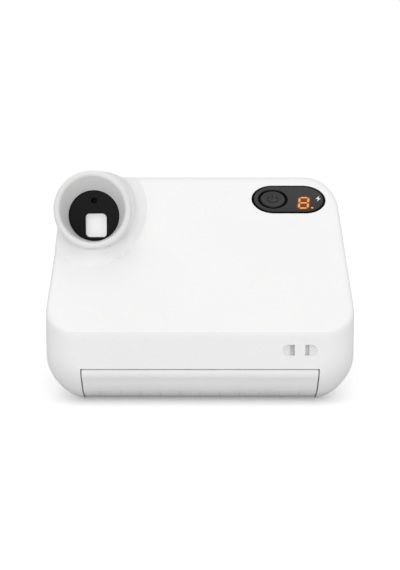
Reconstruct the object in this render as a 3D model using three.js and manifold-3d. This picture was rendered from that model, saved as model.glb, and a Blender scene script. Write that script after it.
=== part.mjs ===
// Compact instant camera with a wedge-shaped back: a viewfinder barrel and a control panel on the
// slanted face, a film door underneath, and a motor-driven pair of film rollers in the chin.
// Millimetres. +X is to the right seen from behind, +Y is the way the lens looks, +Z is up.
// Inside the camera group, y is measured from the rear wall; the group is centred at the end.
import * as THREE from "three";
import { mergeVertices } from "three/addons/utils/BufferGeometryUtils.js";
import { ConvexGeometry } from "three/addons/geometries/ConvexGeometry.js";
import Module from "manifold-3d";

const wasm = await Module();
wasm.setup();

// ---- Driving dimensions ----

const WIDTH = 82.6;
const DEPTH = 105;
const BODY_TOP = 60.2;
const CREASE_Z = 19.9; // where the upright rear wall turns into the slanted face
const SLOPE = THREE.MathUtils.degToRad(38.8);
const CHIN_DEPTH = 21; // how far the chin stands in front of the lens face
const CHIN_RISE = 3; // from the chin's front edge up to its root at the lens face
const WALL = 2.2;
const GAP = 0.3; // between neighbouring pieces
const SEAM_SETBACK = 6; // from the lens face back to the joint of the two covers

const BASE_RADIUS = 12;
const TOP_RADIUS = 9.2;
const REAR_CORNER = 8.5;
const FACE_CORNER = 5;
const CHIN_CORNER = 7;

const MODULE = 0.5; // gear tooth size
const TEETH = {
  pinion: Math.round(5 / MODULE),
  idler: Math.round(16 / MODULE),
  roller: Math.round(7 / MODULE),
};
const FILM_Z = 16.4; // the height at which a print leaves
const CHAMBER_HALF = 32.2; // half the width that the film format needs

// ---- Derived places ----

const HALF = WIDTH / 2;
const INNER = HALF - WALL;
const FACE_Y = DEPTH - CHIN_DEPTH;
const SEAM_Y = FACE_Y - SEAM_SETBACK;
const SHOULDER_Y = (BODY_TOP - CREASE_Z) / Math.tan(SLOPE);
const SLANT_LENGTH = (BODY_TOP - CREASE_Z) / Math.sin(SLOPE);
const SIDE_BAY = CHAMBER_HALF + GAP; // what stands beside the film chamber starts here
const ROLLER_PITCH = (MODULE * TEETH.roller) / 2;
const CHIN_FRONT_Z = FILM_Z + 2 * ROLLER_PITCH + WALL - 0.6;
const CHIN_ROOT_Z = CHIN_FRONT_Z + CHIN_RISE;

// ---- Pieces' own sizes, placed from the body's ----

const BARREL_LENGTH = 19.08; // from the slanted face out to the ring, along the barrel's axis
const BARREL_END = 36.3; // from the ring to where the barrel's top meets the body's top
const BARREL_FILLET = 4.5;
const RING_Z = BODY_TOP - 9.1;
const RING = {
  x: 11.4 - HALF,
  z: RING_Z,
  y: (RING_Z - CREASE_Z) / Math.tan(SLOPE) - BARREL_LENGTH,
  radius: 10.9,
  rim: 1.9,
};
const DISC = { x: RING.x - 0.1, z: RING.z - 1.8, radius: 7.2, depth: 6.9, thickness: 1.3 };
const SIGHT = { x: 0.45, z: -2.8, width: 6.1, height: 6.75 }; // window, from the disc's centre
const SENSOR_HOLE = { z: 4.3, radius: 0.7 };
const SLEEVE_RADIUS = 9.3;

const PANEL = {
  x: HALF - 14.8,
  s: SLANT_LENGTH - 10.42,
  length: 21.95,
  width: 12.8,
  thickness: 1.3,
};
const POWER_BUTTON = { x: PANEL.x - 4.7, radius: 3.7, height: 2, travel: 0.6 };
const DIGIT = { x: PANEL.x + 4.4, s: PANEL.s - 1.7, width: 3.7, height: 6.1, stroke: 0.75 };
const SYMBOL = { x: PANEL.x + 8.9, s: PANEL.s + 0.05, height: 2.9 };

const DOOR_HALF = CHAMBER_HALF - 1.1;
const DOOR_TOP = 9.9;
const DOOR_LIP = 1.85;
const DOOR_RECESS = 0.5;
const DOOR_WALL = 1.8;
const GROOVE_PITCH = 5.3;
const GROOVES = 11;
const RUNNER = { width: 3, height: 2.6 };

const CHAMBER = {
  half: CHAMBER_HALF,
  wall: 2,
  rear: 8.8,
  front: FACE_Y + 2.5,
  top: FILM_Z + 3,
  window: 23.5,
};
const HINGE = { y: FACE_Y, z: 2.4, radius: 1.9, pin: 0.7, lug: CHAMBER_HALF - 4 };
const CATCH_Z = 5.4; // height of the latch's finger
const STRAP = { x: HALF - 15.2, z: 15, length: 9.1, height: 3.25, bar: 2.74, depth: 4.2 };
const LATCH = { y: 36, z: 15, length: 12, height: 4.6, travel: 3 };

const ROLLER = { y: DEPTH - 10, half: 28, gap: 0.3, shaft: 1.2 };
const PAIR_GEARS = [SIDE_BAY + 0.1, SIDE_BAY + 1.7];
const DRIVE_GEARS = [SIDE_BAY + 2.4, SIDE_BAY + 4];
const MOTOR = {
  y: FACE_Y - 7,
  z: CHAMBER.top + 4.9,
  radius: 4,
  left: DRIVE_GEARS[0] - 9.5,
  right: DRIVE_GEARS[0] - 1,
};

const LENS = { z: BODY_TOP - 17.7, bezel: 13, barrel: 7.7, bore: 6.2, shutter: 4.5 };
const FLASH = { x: HALF - 13.8, z: BODY_TOP - 13.2, width: 15, height: 11 };
const FINDER = {
  rear: RING.y + 13.3,
  left: INNER - 0.7,
  right: INNER - 14.7,
  bottom: BODY_TOP - 20.4,
  top: BODY_TOP - 8.8,
};
const SHUTTER_BUTTON = { x: HALF - 15.3, back: 16, radius: 5.2, travel: 1 };
const FLASH_BUTTON = { x: SHUTTER_BUTTON.x - 15, back: 16, radius: 3, travel: 0.8 };
const BUTTON_GAP = 0.35;

const SLANT = new THREE.Matrix4()
  .makeBasis(
    new THREE.Vector3(1, 0, 0),
    new THREE.Vector3(0, Math.cos(SLOPE), Math.sin(SLOPE)),
    new THREE.Vector3(0, -Math.sin(SLOPE), Math.cos(SLOPE)),
  )
  .setPosition(0, 0, CREASE_Z);

// ---- Materials ----

const finish = (color, roughness, metalness = 0) =>
  new THREE.MeshStandardMaterial({ color, roughness, metalness });
const WHITE = finish(0xf4f4f3, 0.5);
const OFF_WHITE = finish(0xe9e9e7, 0.6);
const BLACK = finish(0x17181a, 0.45);
const GLOSS_BLACK = finish(0x2b2c2e, 0.15);
const GLASS = finish(0xcfd8dc, 0.05);
const ORANGE = finish(0xff8a2a, 0.4);
const RED = finish(0xd23b2e, 0.4);
const STEEL = finish(0xb9bcc0, 0.3, 1);
const BOARD = finish(0x1e5a3a, 0.5);
const RUBBER = finish(0x303032, 0.85);
const ACETAL = finish(0xdad7cc, 0.5);
const MIRROR = finish(0xeef2f4, 0.03, 1);

// ---- Solids ----

function solid(geometry) {
  geometry.deleteAttribute("normal");
  geometry.deleteAttribute("uv");
  const merged = mergeVertices(geometry, 1e-4);
  const vertProperties = merged.attributes.position.array;
  const triVerts = new Uint32Array(merged.index.array);
  return new wasm.Manifold(new wasm.Mesh({ numProp: 3, vertProperties, triVerts }));
}

function part(name, shape, material) {
  const { vertProperties, triVerts } = shape.getMesh();
  const geometry = new THREE.BufferGeometry();
  geometry.setAttribute("position", new THREE.BufferAttribute(vertProperties, 3));
  geometry.setIndex(new THREE.BufferAttribute(triVerts, 1));
  geometry.computeVertexNormals();
  const mesh = new THREE.Mesh(geometry, material);
  mesh.name = name;
  return mesh;
}

const union = (first, ...others) => others.reduce((whole, other) => whole.add(other), first);
const cut = (first, ...others) => others.reduce((whole, other) => whole.subtract(other), first);

// The main body of a solid, without the slivers that near-coincident curved faces leave.
const mainBody = (shape) =>
  shape.decompose().reduce((best, piece) => (piece.volume() > best.volume() ? piece : best));

// A box between two values on each axis.
function box(x, y, z) {
  const geometry = new THREE.BoxGeometry(x[1] - x[0], y[1] - y[0], z[1] - z[0]);
  geometry.translate((x[0] + x[1]) / 2, (y[0] + y[1]) / 2, (z[0] + z[1]) / 2);
  return solid(geometry);
}

const prism = (outline, depth) =>
  new THREE.ExtrudeGeometry(new THREE.Shape(outline), { depth, bevelEnabled: false });

// Outlines are lists of Vector2: (y, z) along X, (x, z) along Y and (x, y) along Z.
function alongX(outline, x) {
  const turn = new THREE.Matrix4().makeBasis(
    new THREE.Vector3(0, 1, 0),
    new THREE.Vector3(0, 0, 1),
    new THREE.Vector3(1, 0, 0),
  );
  return solid(prism(outline, x[1] - x[0]).applyMatrix4(turn.setPosition(x[0], 0, 0)));
}

function alongY(outline, y) {
  const turn = new THREE.Matrix4().makeBasis(
    new THREE.Vector3(1, 0, 0),
    new THREE.Vector3(0, 0, 1),
    new THREE.Vector3(0, -1, 0),
  );
  return solid(prism(outline, y[1] - y[0]).applyMatrix4(turn.setPosition(0, y[1], 0)));
}

const alongZ = (outline, z) => solid(prism(outline, z[1] - z[0]).translate(0, 0, z[0]));

// A regular polygon that stands in for a circle.
function circle(a, b, radius, sides = 24) {
  const step = (2 * Math.PI) / sides;
  return Array.from({ length: sides }, (_, i) =>
    new THREE.Vector2(a + radius * Math.cos(i * step), b + radius * Math.sin(i * step)));
}

const rodX = (y, z, radius, x, sides) => alongX(circle(y, z, radius, sides), x);
const rodY = (x, z, radius, y, sides) => alongY(circle(x, z, radius, sides), y);
const rodZ = (x, y, radius, z, sides) => alongZ(circle(x, y, radius, sides), z);

// A ring or knob turned about an axis along Y: the profile's points are [radius, y].
function turnedY(x, z, profile, sides = 28) {
  const points = profile.map(([radius, y]) => new THREE.Vector2(radius, y));
  if (THREE.ShapeUtils.isClockWise(points)) points.reverse();
  return solid(new THREE.LatheGeometry(points, sides).translate(x, 0, z));
}

// The same corner list moved inwards by d; corners are [a, b, radius], counter-clockwise.
function inset(corners, d) {
  const lines = corners.map(([a, b], i) => {
    const [c, e] = corners[(i + 1) % corners.length];
    const along = new THREE.Vector2(c - a, e - b).normalize();
    return { point: new THREE.Vector2(a - along.y * d, b + along.x * d), along };
  });
  return corners.map(([, , radius], i) => {
    const before = lines[(i + lines.length - 1) % lines.length];
    const after = lines[i];
    const turn = before.along.cross(after.along);
    const gap = after.point.clone().sub(before.point);
    const reach = gap.cross(after.along) / turn;
    const corner = before.point.clone().addScaledVector(before.along, reach);
    return [corner.x, corner.y, Math.max(turn > 0 ? radius - d : radius + d, 0)];
  });
}

// The outline of a corner list with an arc at each corner.
function rounded(corners, steps = 6) {
  const outline = [];
  corners.forEach(([a, b, radius], i) => {
    const corner = new THREE.Vector2(a, b);
    const [pa, pb] = corners[(i + corners.length - 1) % corners.length];
    const [na, nb] = corners[(i + 1) % corners.length];
    const back = new THREE.Vector2(pa - a, pb - b).normalize();
    const on = new THREE.Vector2(na - a, nb - b).normalize();
    if (radius < 0.05) {
      outline.push(corner);
      return;
    }
    const half = Math.acos(THREE.MathUtils.clamp(back.dot(on), -1, 1)) / 2;
    const middle = back.clone().add(on).normalize();
    const centre = corner.clone().addScaledVector(middle, radius / Math.sin(half));
    const start = corner.clone().addScaledVector(back, radius / Math.tan(half)).sub(centre);
    const sweep = (Math.PI - 2 * half) * Math.sign(on.cross(back));
    const count = Math.max(2, Math.round((steps * Math.abs(sweep) * 2) / Math.PI));
    for (let k = 0; k <= count; k += 1) {
      const angle = (sweep * k) / count;
      outline.push(start.clone().rotateAround(new THREE.Vector2(), angle).add(centre));
    }
  });
  return outline;
}

// A rectangle's corner list from two values on each axis.
const rectangle = (a, b, radius = 0) => [
  [a[0], b[0], radius],
  [a[1], b[0], radius],
  [a[1], b[1], radius],
  [a[0], b[1], radius],
];

const spread = (middle, size) => [middle - size / 2, middle + size / 2];
const between = (from, length) => [from, from + length];
const stadium = (a, b, length, width) =>
  rounded(rectangle(spread(a, length), spread(b, width), width / 2 - 0.01), 8);

// ---- The camera's outer form ----

const SIDE_VIEW = [
  [0, 0, BASE_RADIUS],
  [DEPTH, 0, 6],
  [DEPTH, CHIN_FRONT_Z, 4],
  [FACE_Y, CHIN_ROOT_Z, 3],
  [FACE_Y, BODY_TOP, 7],
  [SHOULDER_Y, BODY_TOP, 2.5],
  [0, CREASE_Z, 4],
];

const FRONT_VIEW = [
  [-HALF, 0, BASE_RADIUS],
  [HALF, 0, BASE_RADIUS],
  [HALF, BODY_TOP, TOP_RADIUS],
  [-HALF, BODY_TOP, TOP_RADIUS],
];

const plan = (front, corner) => [
  [-HALF, 0, REAR_CORNER],
  [HALF, 0, REAR_CORNER],
  [HALF, front, corner],
  [-HALF, front, corner],
];

// The body as one solid, moved in from its outer surface by d.
function body(d) {
  const side = alongX(rounded(inset(SIDE_VIEW, d)), [-HALF, HALF]);
  const front = alongY(rounded(inset(FRONT_VIEW, d)), [-1, DEPTH + 1]);
  const upper = alongZ(rounded(inset(plan(FACE_Y, FACE_CORNER), d), 5), [-1, BODY_TOP + 1]);
  const lower = alongZ(rounded(inset(plan(DEPTH, CHIN_CORNER), d), 5), [-1, CHIN_ROOT_Z - d]);
  return side.intersect(front).intersect(upper.add(lower));
}

// The viewfinder barrel: a round boss that dies into the body's top.
function barrelBoss() {
  const start = RING.y + 1.5 + GAP;
  const end = RING.y + BARREL_END;
  const endRadius = BODY_TOP - RING.z;
  const profile = [
    [0, start],
    [RING.radius, start],
    [RING.radius, start + 8],
    [endRadius, end],
    [0, end],
  ];
  return turnedY(RING.x, RING.z, profile);
}

// The hollow round that blends the barrel into the slanted face: a turned column whose rings are
// stretched to the barrel's oval section on the slant and widened towards the face.
function barrelFillet() {
  const levels = [0, 0.45, 1.4, 2.8, BARREL_FILLET];
  const radius = RING.radius - 1.4;
  const rows = [[0, -1], ...[-1, ...levels].map((h) => [1, h]), [0, BARREL_FILLET]];
  const column = new THREE.LatheGeometry(rows.map(([r, h]) => new THREE.Vector2(r, h)), 28);
  const position = column.attributes.position;
  for (let i = 0; i < position.count; i += 1) {
    const point = new THREE.Vector3().fromBufferAttribute(position, i);
    const onFace = new THREE.Vector2(point.x, -point.z * Math.sin(SLOPE)).normalize();
    const drop = BARREL_FILLET - Math.max(point.y, 0);
    const reach = BARREL_FILLET + 0.6 - Math.sqrt(BARREL_FILLET ** 2 - drop ** 2);
    const widened = Math.hypot(point.x, point.z) > 0.5 ? reach : 0;
    const middle = (RING.z - CREASE_Z) / Math.sin(SLOPE) - point.y / Math.tan(SLOPE);
    const s = middle - (radius * point.z) / Math.sin(SLOPE) + widened * onFace.y;
    point.set(RING.x + radius * point.x + widened * onFace.x, s, point.y).applyMatrix4(SLANT);
    position.setXYZ(i, point.x, point.y, point.z);
  }
  const within = alongY(rounded(inset(FRONT_VIEW, 0.2)), [0, SHOULDER_Y + 4]);
  return solid(column).intersect(within);
}

// ---- Covers ----

const SCREW_SPOTS = [22, 62].flatMap((y) => [-1, 1].map((side) => ({ side, y })));
const SCREW_X = SIDE_BAY + 2.6;
const EAR_Z = WALL + 6.3;

function screwPosts() {
  const posts = SCREW_SPOTS.map(({ side, y }) => {
    const x = [side * (SCREW_X - 2.2), side * (INNER + 0.3)].sort((a, b) => a - b);
    const post = box(x, spread(y, 4.4), [EAR_Z + 2 + GAP, EAR_Z + 8]);
    return cut(post, rodZ(side * SCREW_X, y, 1.2, [EAR_Z, EAR_Z + 6.5], 12));
  });
  return union(...posts);
}

function strapNotch() {
  const outline = stadium(STRAP.x, STRAP.z, STRAP.length, STRAP.height);
  const notch = alongY(outline, [-1, STRAP.depth]);
  const bar = box(spread(STRAP.x, STRAP.bar), [-1, 1.6], spread(STRAP.z, STRAP.height + 1));
  return cut(notch, bar);
}

function doorOpening() {
  const front = HINGE.y + HINGE.radius + GAP;
  return box([-DOOR_HALF - GAP, DOOR_HALF + GAP], [-1, front], [-1, DOOR_TOP + GAP]);
}

function panelPocket() {
  const pocket = stadium(PANEL.x, PANEL.s, PANEL.length + 2 * GAP, PANEL.width + 2 * GAP);
  const through = stadium(PANEL.x, PANEL.s, PANEL.length - 2.6, PANEL.width - 2.6);
  return union(
    solid(prism(pocket, 3).translate(0, 0, -PANEL.thickness - 0.2).applyMatrix4(SLANT)),
    solid(prism(through, 8).translate(0, 0, -6).applyMatrix4(SLANT)),
  );
}

const buttonHole = (button) =>
  rodZ(button.x, FACE_Y - button.back, button.radius + BUTTON_GAP, [BODY_TOP - 6, BODY_TOP + 1]);

const USB = { y: SEAM_Y - 18, z: CHAMBER.top + 6.5, width: 7.6, height: 2.8 };

function rearCover() {
  const back = box([-HALF - 1, HALF + 1], [-1, SEAM_Y - GAP / 2], [-1, BODY_TOP + 5]);
  const shell = union(body(0), barrelBoss(), barrelFillet()).subtract(body(WALL)).intersect(back);
  const runners = [-1, 1].map((side) => {
    const x = [side * (DOOR_HALF + GAP), side * (DOOR_HALF + GAP + RUNNER.width)];
    return box(x.sort((a, b) => a - b), [BASE_RADIUS + 2, SEAM_Y - GAP / 2], [0, RUNNER.height]);
  });
  const strapBlock = box(spread(STRAP.x, STRAP.length + 3), [1, STRAP.depth + 1.4],
    spread(STRAP.z, STRAP.height + 3));
  return mainBody(cut(
    union(shell, ...runners, screwPosts(), strapBlock),
    doorOpening(),
    strapNotch(),
    panelPocket(),
    rodY(DISC.x, RING.z - 0.7, SLEEVE_RADIUS + GAP, [RING.y, RING.y + 18.3], 28),
    rodY(DISC.x, DISC.z + 0.7, SLEEVE_RADIUS - 1.1, [RING.y + 18, RING.y + 26.5], 28),
    buttonHole(SHUTTER_BUTTON),
    buttonHole(FLASH_BUTTON),
    box([INNER - 1, HALF + 1], between(LATCH.y - GAP, LATCH.length + LATCH.travel + 2 * GAP),
      spread(LATCH.z, LATCH.height + 2 * GAP)),
    box([INNER - 1, HALF + 1], spread(USB.y, USB.width + 2 * GAP),
      spread(USB.z, USB.height + 2 * GAP)),
  ));
}

const SENSORS = [
  { name: "light_sensor", x: FLASH.x - 6, z: FLASH.z - 11.6 },
  { name: "distance_sensor", x: FLASH.x - 1, z: FLASH.z - 11.6 },
];
const SELFIE = { x: 10.3 - HALF, z: FINDER.bottom - 4.6, radius: 3.2 };
const EXIT = { half: 28.6, height: 2.4 };

function frontCover() {
  const front = box([-HALF - 1, HALF + 1], [SEAM_Y + GAP / 2, DEPTH + 1], [-1, BODY_TOP + 5]);
  const shell = body(0).subtract(body(WALL)).intersect(front);
  const wall = [FACE_Y - WALL - 1, FACE_Y + 1];
  const finder = rounded(rectangle([-FINDER.left - GAP, -FINDER.right + GAP],
    [FINDER.bottom - GAP, FINDER.top + GAP], 1.5), 3);
  const flash = rounded(rectangle(spread(FLASH.x, FLASH.width + 2 * GAP),
    spread(FLASH.z, FLASH.height + 2 * GAP), 2), 3);
  return cut(
    shell,
    doorOpening(),
    rodY(0, LENS.z, 10.5, wall),
    alongY(finder, wall),
    alongY(flash, wall),
    ...SENSORS.map(({ x, z }) => rodY(x, z, 1.9, wall, 16)),
    rodY(SELFIE.x, SELFIE.z, SELFIE.radius + GAP, [FACE_Y - 1.1, FACE_Y + 1]),
    box([-EXIT.half, EXIT.half], [DEPTH - WALL - 2, DEPTH + 1], spread(FILM_Z, EXIT.height)),
  );
}

// ---- Viewfinder ----

// A hull between two upright rectangles, each {x, z, y}.
function hull(...ends) {
  const points = ends.flatMap(({ x, z, y }) =>
    x.flatMap((a) => z.map((b) => new THREE.Vector3(a, y, b))));
  return solid(new ConvexGeometry(points));
}

function eyepieceCup() {
  const rimBack = RING.y + 1.5;
  const crest = RING.radius - RING.rim / 2;
  const profile = [
    [0, rimBack],
    [RING.radius, rimBack],
    [RING.radius, RING.y + 0.9],
    [RING.radius - 0.3, RING.y + 0.3],
    [crest, RING.y],
    [RING.radius - RING.rim + 0.2, RING.y + 0.3],
    [0, RING.y + 0.3],
  ];
  const sleeve = rodY(DISC.x, RING.z - 0.7, SLEEVE_RADIUS, [RING.y + 1, RING.y + 11.5], 28);
  const mouth = circle(RING.x, RING.z, RING.radius - RING.rim, 28);
  const throat = circle(DISC.x, DISC.z, DISC.radius, 28);
  const cone = solid(new ConvexGeometry([
    ...mouth.map((p) => new THREE.Vector3(p.x, RING.y + 0.2, p.y)),
    ...throat.map((p) => new THREE.Vector3(p.x, RING.y + DISC.depth + 0.1, p.y)),
  ]));
  const seat = rodY(DISC.x, DISC.z, DISC.radius + GAP, [RING.y + DISC.depth, RING.y + 12], 28);
  return cut(turnedY(RING.x, RING.z, profile).add(sleeve), cone, seat);
}

function eyepiecePlate() {
  const y = between(RING.y + DISC.depth + GAP, DISC.thickness);
  const window = rounded(rectangle(spread(DISC.x + SIGHT.x, SIGHT.width),
    spread(DISC.z + SIGHT.z, SIGHT.height), 1.2), 3);
  return cut(
    rodY(DISC.x, DISC.z, DISC.radius, y, 28),
    alongY(window, [0, FACE_Y]),
    rodY(DISC.x, DISC.z + SENSOR_HOLE.z, SENSOR_HOLE.radius, [0, FACE_Y], 10),
  );
}

function eyepieceLens() {
  const y = RING.y + DISC.depth + DISC.thickness + 2 * GAP;
  const radius = DISC.radius - 0.3;
  const profile = [[0, y], [radius, y + 0.6], [radius, y + 1.6], [0, y + 2.2]];
  return turnedY(DISC.x, DISC.z, profile, 24);
}

function viewfinderTube() {
  const rear = { x: [DISC.x - 5.4, DISC.x + 5.4], z: [DISC.z - 7.9, DISC.z + 3.1] };
  const front = {
    x: [-FINDER.left - 0.4, -FINDER.right + 0.2],
    z: [FINDER.bottom - 1, FINDER.top + 0.6],
  };
  const slim = ({ x, z }) => ({ x: [x[0] + 1, x[1] - 1], z: [z[0] + 1, z[1] - 1] });
  const end = FACE_Y - FACE_CORNER;
  return cut(
    hull({ ...rear, y: FINDER.rear }, { ...front, y: end }),
    hull({ ...slim(rear), y: FINDER.rear - 0.1 }, { ...slim(front), y: end + 0.1 }),
  );
}

function finderPane() {
  const outline = rounded(rectangle([-FINDER.left, -FINDER.right],
    [FINDER.bottom, FINDER.top], 1.2), 3);
  return alongY(outline, [FACE_Y - WALL + 0.1, FACE_Y - 0.8]);
}

// ---- Control panel, built in the slanted face's own frame: x, s up the slope, n outwards ----

const slab = (outline, n) => solid(prism(outline, n[1] - n[0]).translate(0, 0, n[0]));

function controlPanel() {
  const window = rounded(rectangle([DIGIT.x - 2.7, DIGIT.x + 3.1],
    spread(DIGIT.s, DIGIT.height + 1.6), 0.4), 2);
  return cut(
    slab(stadium(PANEL.x, PANEL.s, PANEL.length, PANEL.width), [-PANEL.thickness, 0.1]),
    slab(circle(POWER_BUTTON.x, PANEL.s, POWER_BUTTON.radius + BUTTON_GAP, 28), [-3, 1]),
    slab(window, [-3, 1]),
    slab(rounded(rectangle(spread(SYMBOL.x, 2), spread(SYMBOL.s, SYMBOL.height + 0.8), 0.2), 2),
      [-0.8, 1]),
  );
}

// One digit with a point, its strokes standing on a thin plate.
function digitLightGuide() {
  const { x, s, width, height, stroke } = DIGIT;
  const base = rounded(rectangle([x - 2.4, x + 2.8], spread(s, height + 1), 0.3), 2);
  const half = (height - stroke) / 2;
  const bars = [-1, 0, 1].map((row) =>
    box(spread(x - 0.2, width - 2 * stroke), spread(s + row * half, stroke), [-1, 0]));
  const posts = [-1, 1].flatMap((column) => [-1, 1].map((row) =>
    box(spread(x - 0.2 + (column * (width - stroke)) / 2, stroke),
      spread(s + (row * half) / 2, half - stroke + 0.2), [-1, 0])));
  const point = box(spread(x + 2.3, stroke), spread(s - height / 2 + stroke / 2, stroke), [-1, 0]);
  return union(slab(base, [-1.2, -0.7]), ...bars, ...posts, point);
}

// A lightning flash: two opposed wedges that share a slanted middle.
function chargeSymbol() {
  const h = SYMBOL.height / 2;
  const points = [[0.35, h], [-0.75, -0.15], [-0.1, -0.15], [-0.35, -h], [0.75, 0.15], [0.1, 0.15]];
  const outline = points.map(([a, b]) => new THREE.Vector2(SYMBOL.x + a, SYMBOL.s + b));
  return slab(outline, [-0.5, 0]);
}

function controlGroup() {
  const group = new THREE.Group();
  group.applyMatrix4(SLANT);
  const plate = stadium(PANEL.x, PANEL.s, PANEL.length - 3.4, PANEL.width - 3.4);
  const button = circle(POWER_BUTTON.x, PANEL.s, POWER_BUTTON.radius, 28);
  const switchBody = box(spread(POWER_BUTTON.x, 4.4), spread(PANEL.s, 4.4), [-4.6, -3.1]);
  const plunger = slab(circle(POWER_BUTTON.x, PANEL.s, 1, 12), [-3.2, -2.6]);
  group.add(
    part("control_panel", controlPanel(), GLOSS_BLACK),
    part("power_button", slab(button, [0.15 - POWER_BUTTON.height, 0.15]), BLACK),
    part("power_switch", switchBody.add(plunger), STEEL),
    part("digit_light_guide", digitLightGuide(), ORANGE),
    part("charge_symbol", chargeSymbol(), WHITE),
    part("display_module", box([DIGIT.x - 2.9, DIGIT.x + 3.3], spread(DIGIT.s, DIGIT.height + 1),
      [-4.6, -WALL - 0.4]), BLACK),
    part("control_pcb", slab(plate, [-5.9, -4.9]), BOARD),
  );
  return group;
}

// ---- Top buttons ----

function topButton(button) {
  const y = FACE_Y - button.back;
  const cap = rodZ(button.x, y, button.radius, [BODY_TOP - 2.6, BODY_TOP - 0.1]);
  return cap.add(rodZ(button.x, y, 1, [BODY_TOP - 4.4, BODY_TOP - 2.5], 12));
}

function tactSwitch(button) {
  const y = FACE_Y - button.back;
  const plungerTop = BODY_TOP - 4.4 - button.travel - 0.2;
  return box(spread(button.x, 5), spread(y, 5), [plungerTop - 2.2, plungerTop - 0.4])
    .add(rodZ(button.x, y, 1, [plungerTop - 0.5, plungerTop], 12));
}

// ---- Lens and shutter ----

function lensBezel() {
  const sleeve = 10.2;
  const profile = [
    [8, FACE_Y - 4],
    [sleeve, FACE_Y - 4],
    [sleeve, FACE_Y + GAP],
    [LENS.bezel, FACE_Y + GAP],
    [LENS.bezel, FACE_Y + 4.5],
    [LENS.bezel - 1, FACE_Y + 5.5],
    [LENS.bezel - 2.2, FACE_Y + 5.5],
    [8, FACE_Y + 3.4],
    [8, FACE_Y - 4],
  ];
  return turnedY(0, LENS.z, profile, 32);
}

function lensBarrel() {
  const rear = FACE_Y - 10;
  const front = FACE_Y + 2.6;
  return cut(
    rodY(0, LENS.z, LENS.barrel, [rear, front], 28),
    rodY(0, LENS.z, LENS.bore, [rear - 1, front + 1], 24),
    rodY(0, LENS.z, LENS.bore + 0.8, [front - 2, front + 1], 24),
  );
}

function glassLens(radius, back, thickness, bulge) {
  const profile = [
    [0, back],
    [radius, back],
    [radius, back + thickness],
    [radius * 0.7, back + thickness + bulge * 0.55],
    [0, back + thickness + bulge],
  ];
  return turnedY(0, LENS.z, profile, 24);
}

const PIVOT = { x: 8.6, z: LENS.z - 7 };

function shutterPlate() {
  const y = [FACE_Y - 12.4, FACE_Y - 10.8];
  const plate = box([-12, 12], y, [LENS.z - 10.5, LENS.z + 8]);
  const pin = rodY(PIVOT.x, PIVOT.z, 0.7, [y[0] - 1.8, y[0] + 0.2], 12);
  return cut(plate, rodY(0, LENS.z, LENS.shutter, [y[0] - 1, y[1] + 1], 20)).add(pin);
}

function shutterBlade() {
  const y = between(FACE_Y - 13.6, 0.5);
  const disc = circle(0, LENS.z, LENS.shutter + 1, 20);
  const eye = circle(PIVOT.x, PIVOT.z, 2, 14);
  const at = (height) => (p) => new THREE.Vector3(p.x, height, p.y);
  const blade = solid(new ConvexGeometry(y.flatMap((h) => [...disc, ...eye].map(at(h)))));
  return cut(blade, rodY(PIVOT.x, PIVOT.z, 1, [y[0] - 1, y[1] + 1], 12));
}

function flashReflector() {
  const x = spread(FLASH.x, FLASH.width - 1.2);
  const z = spread(FLASH.z, FLASH.height - 1.4);
  const y = [FACE_Y - 9, FACE_Y - WALL - 0.4];
  const mouth = { x: [x[0] + 0.8, x[1] - 0.8], z: [z[0] + 0.8, z[1] - 0.8], y: y[1] + 0.1 };
  const bottom = { x: mouth.x, z: spread(FLASH.z, 3.6), y: y[0] + 1 };
  return cut(box(x, y, z), hull(mouth, bottom));
}

// ---- Optics box and film chamber ----

const MIRROR_DROP = 7.4; // from the slanted face down to the mirror box's outer top

// Half the mirror box's width at a height: it narrows upwards, clear of the viewfinder.
const mirrorBoxHalf = (z) => CHAMBER.window + 1.1 - (z - CHAMBER.top) * 0.215;

function mirrorBoxForm(d) {
  const bottom = CHAMBER.top + GAP;
  const drop = (MIRROR_DROP + d) / Math.cos(SLOPE);
  const front = FACE_Y - 15;
  const slantAt = (y) => CREASE_Z + y * Math.tan(SLOPE) - drop;
  const rear = (bottom - CREASE_Z + drop) / Math.tan(SLOPE) + 1.5;
  const top = LENS.z + LENS.barrel + 0.6 - d;
  const knee = (top - CREASE_Z + drop) / Math.tan(SLOPE);
  const outline = [
    [rear, bottom - (d ? 1 : 0)],
    [front + (d ? 1 : 0), bottom - (d ? 1 : 0)],
    [front + (d ? 1 : 0), top],
    [knee, top],
    [rear, slantAt(rear)],
  ].map(([a, b]) => new THREE.Vector2(a, b));
  const low = mirrorBoxHalf(bottom) - d;
  const high = mirrorBoxHalf(top) - d;
  const end = [[-low, bottom - 1], [low, bottom - 1], [high, top], [-high, top]];
  const taper = alongY(end.map(([a, b]) => new THREE.Vector2(a, b)), [0, DEPTH]);
  return alongX(outline, [-HALF, HALF]).intersect(taper);
}

const MIRROR_S = [SLANT_LENGTH - 38.3, SLANT_LENGTH - 8.3];

function mirrorBox() {
  const slot = slab(rounded(rectangle([-13, 13], MIRROR_S)), [-MIRROR_DROP - 3, -MIRROR_DROP + 2]);
  return cut(mirrorBoxForm(0), mirrorBoxForm(1.2)).subtract(slot.transform(SLANT.elements));
}

// The two ears that carry the ends of the door's hinge pin.
function hingeLugs() {
  const reach = HINGE.radius - GAP;
  const lugs = [-1, 1].map((side) => {
    const x = [side * HINGE.lug, side * (HINGE.lug + 3)].sort((a, b) => a - b);
    return box(x, spread(HINGE.y, 2 * reach), [HINGE.z - reach, CHAMBER.top - 12]);
  });
  return cut(union(...lugs), rodX(HINGE.y, HINGE.z, HINGE.pin + 0.25, [-HALF, HALF], 12));
}

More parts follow.
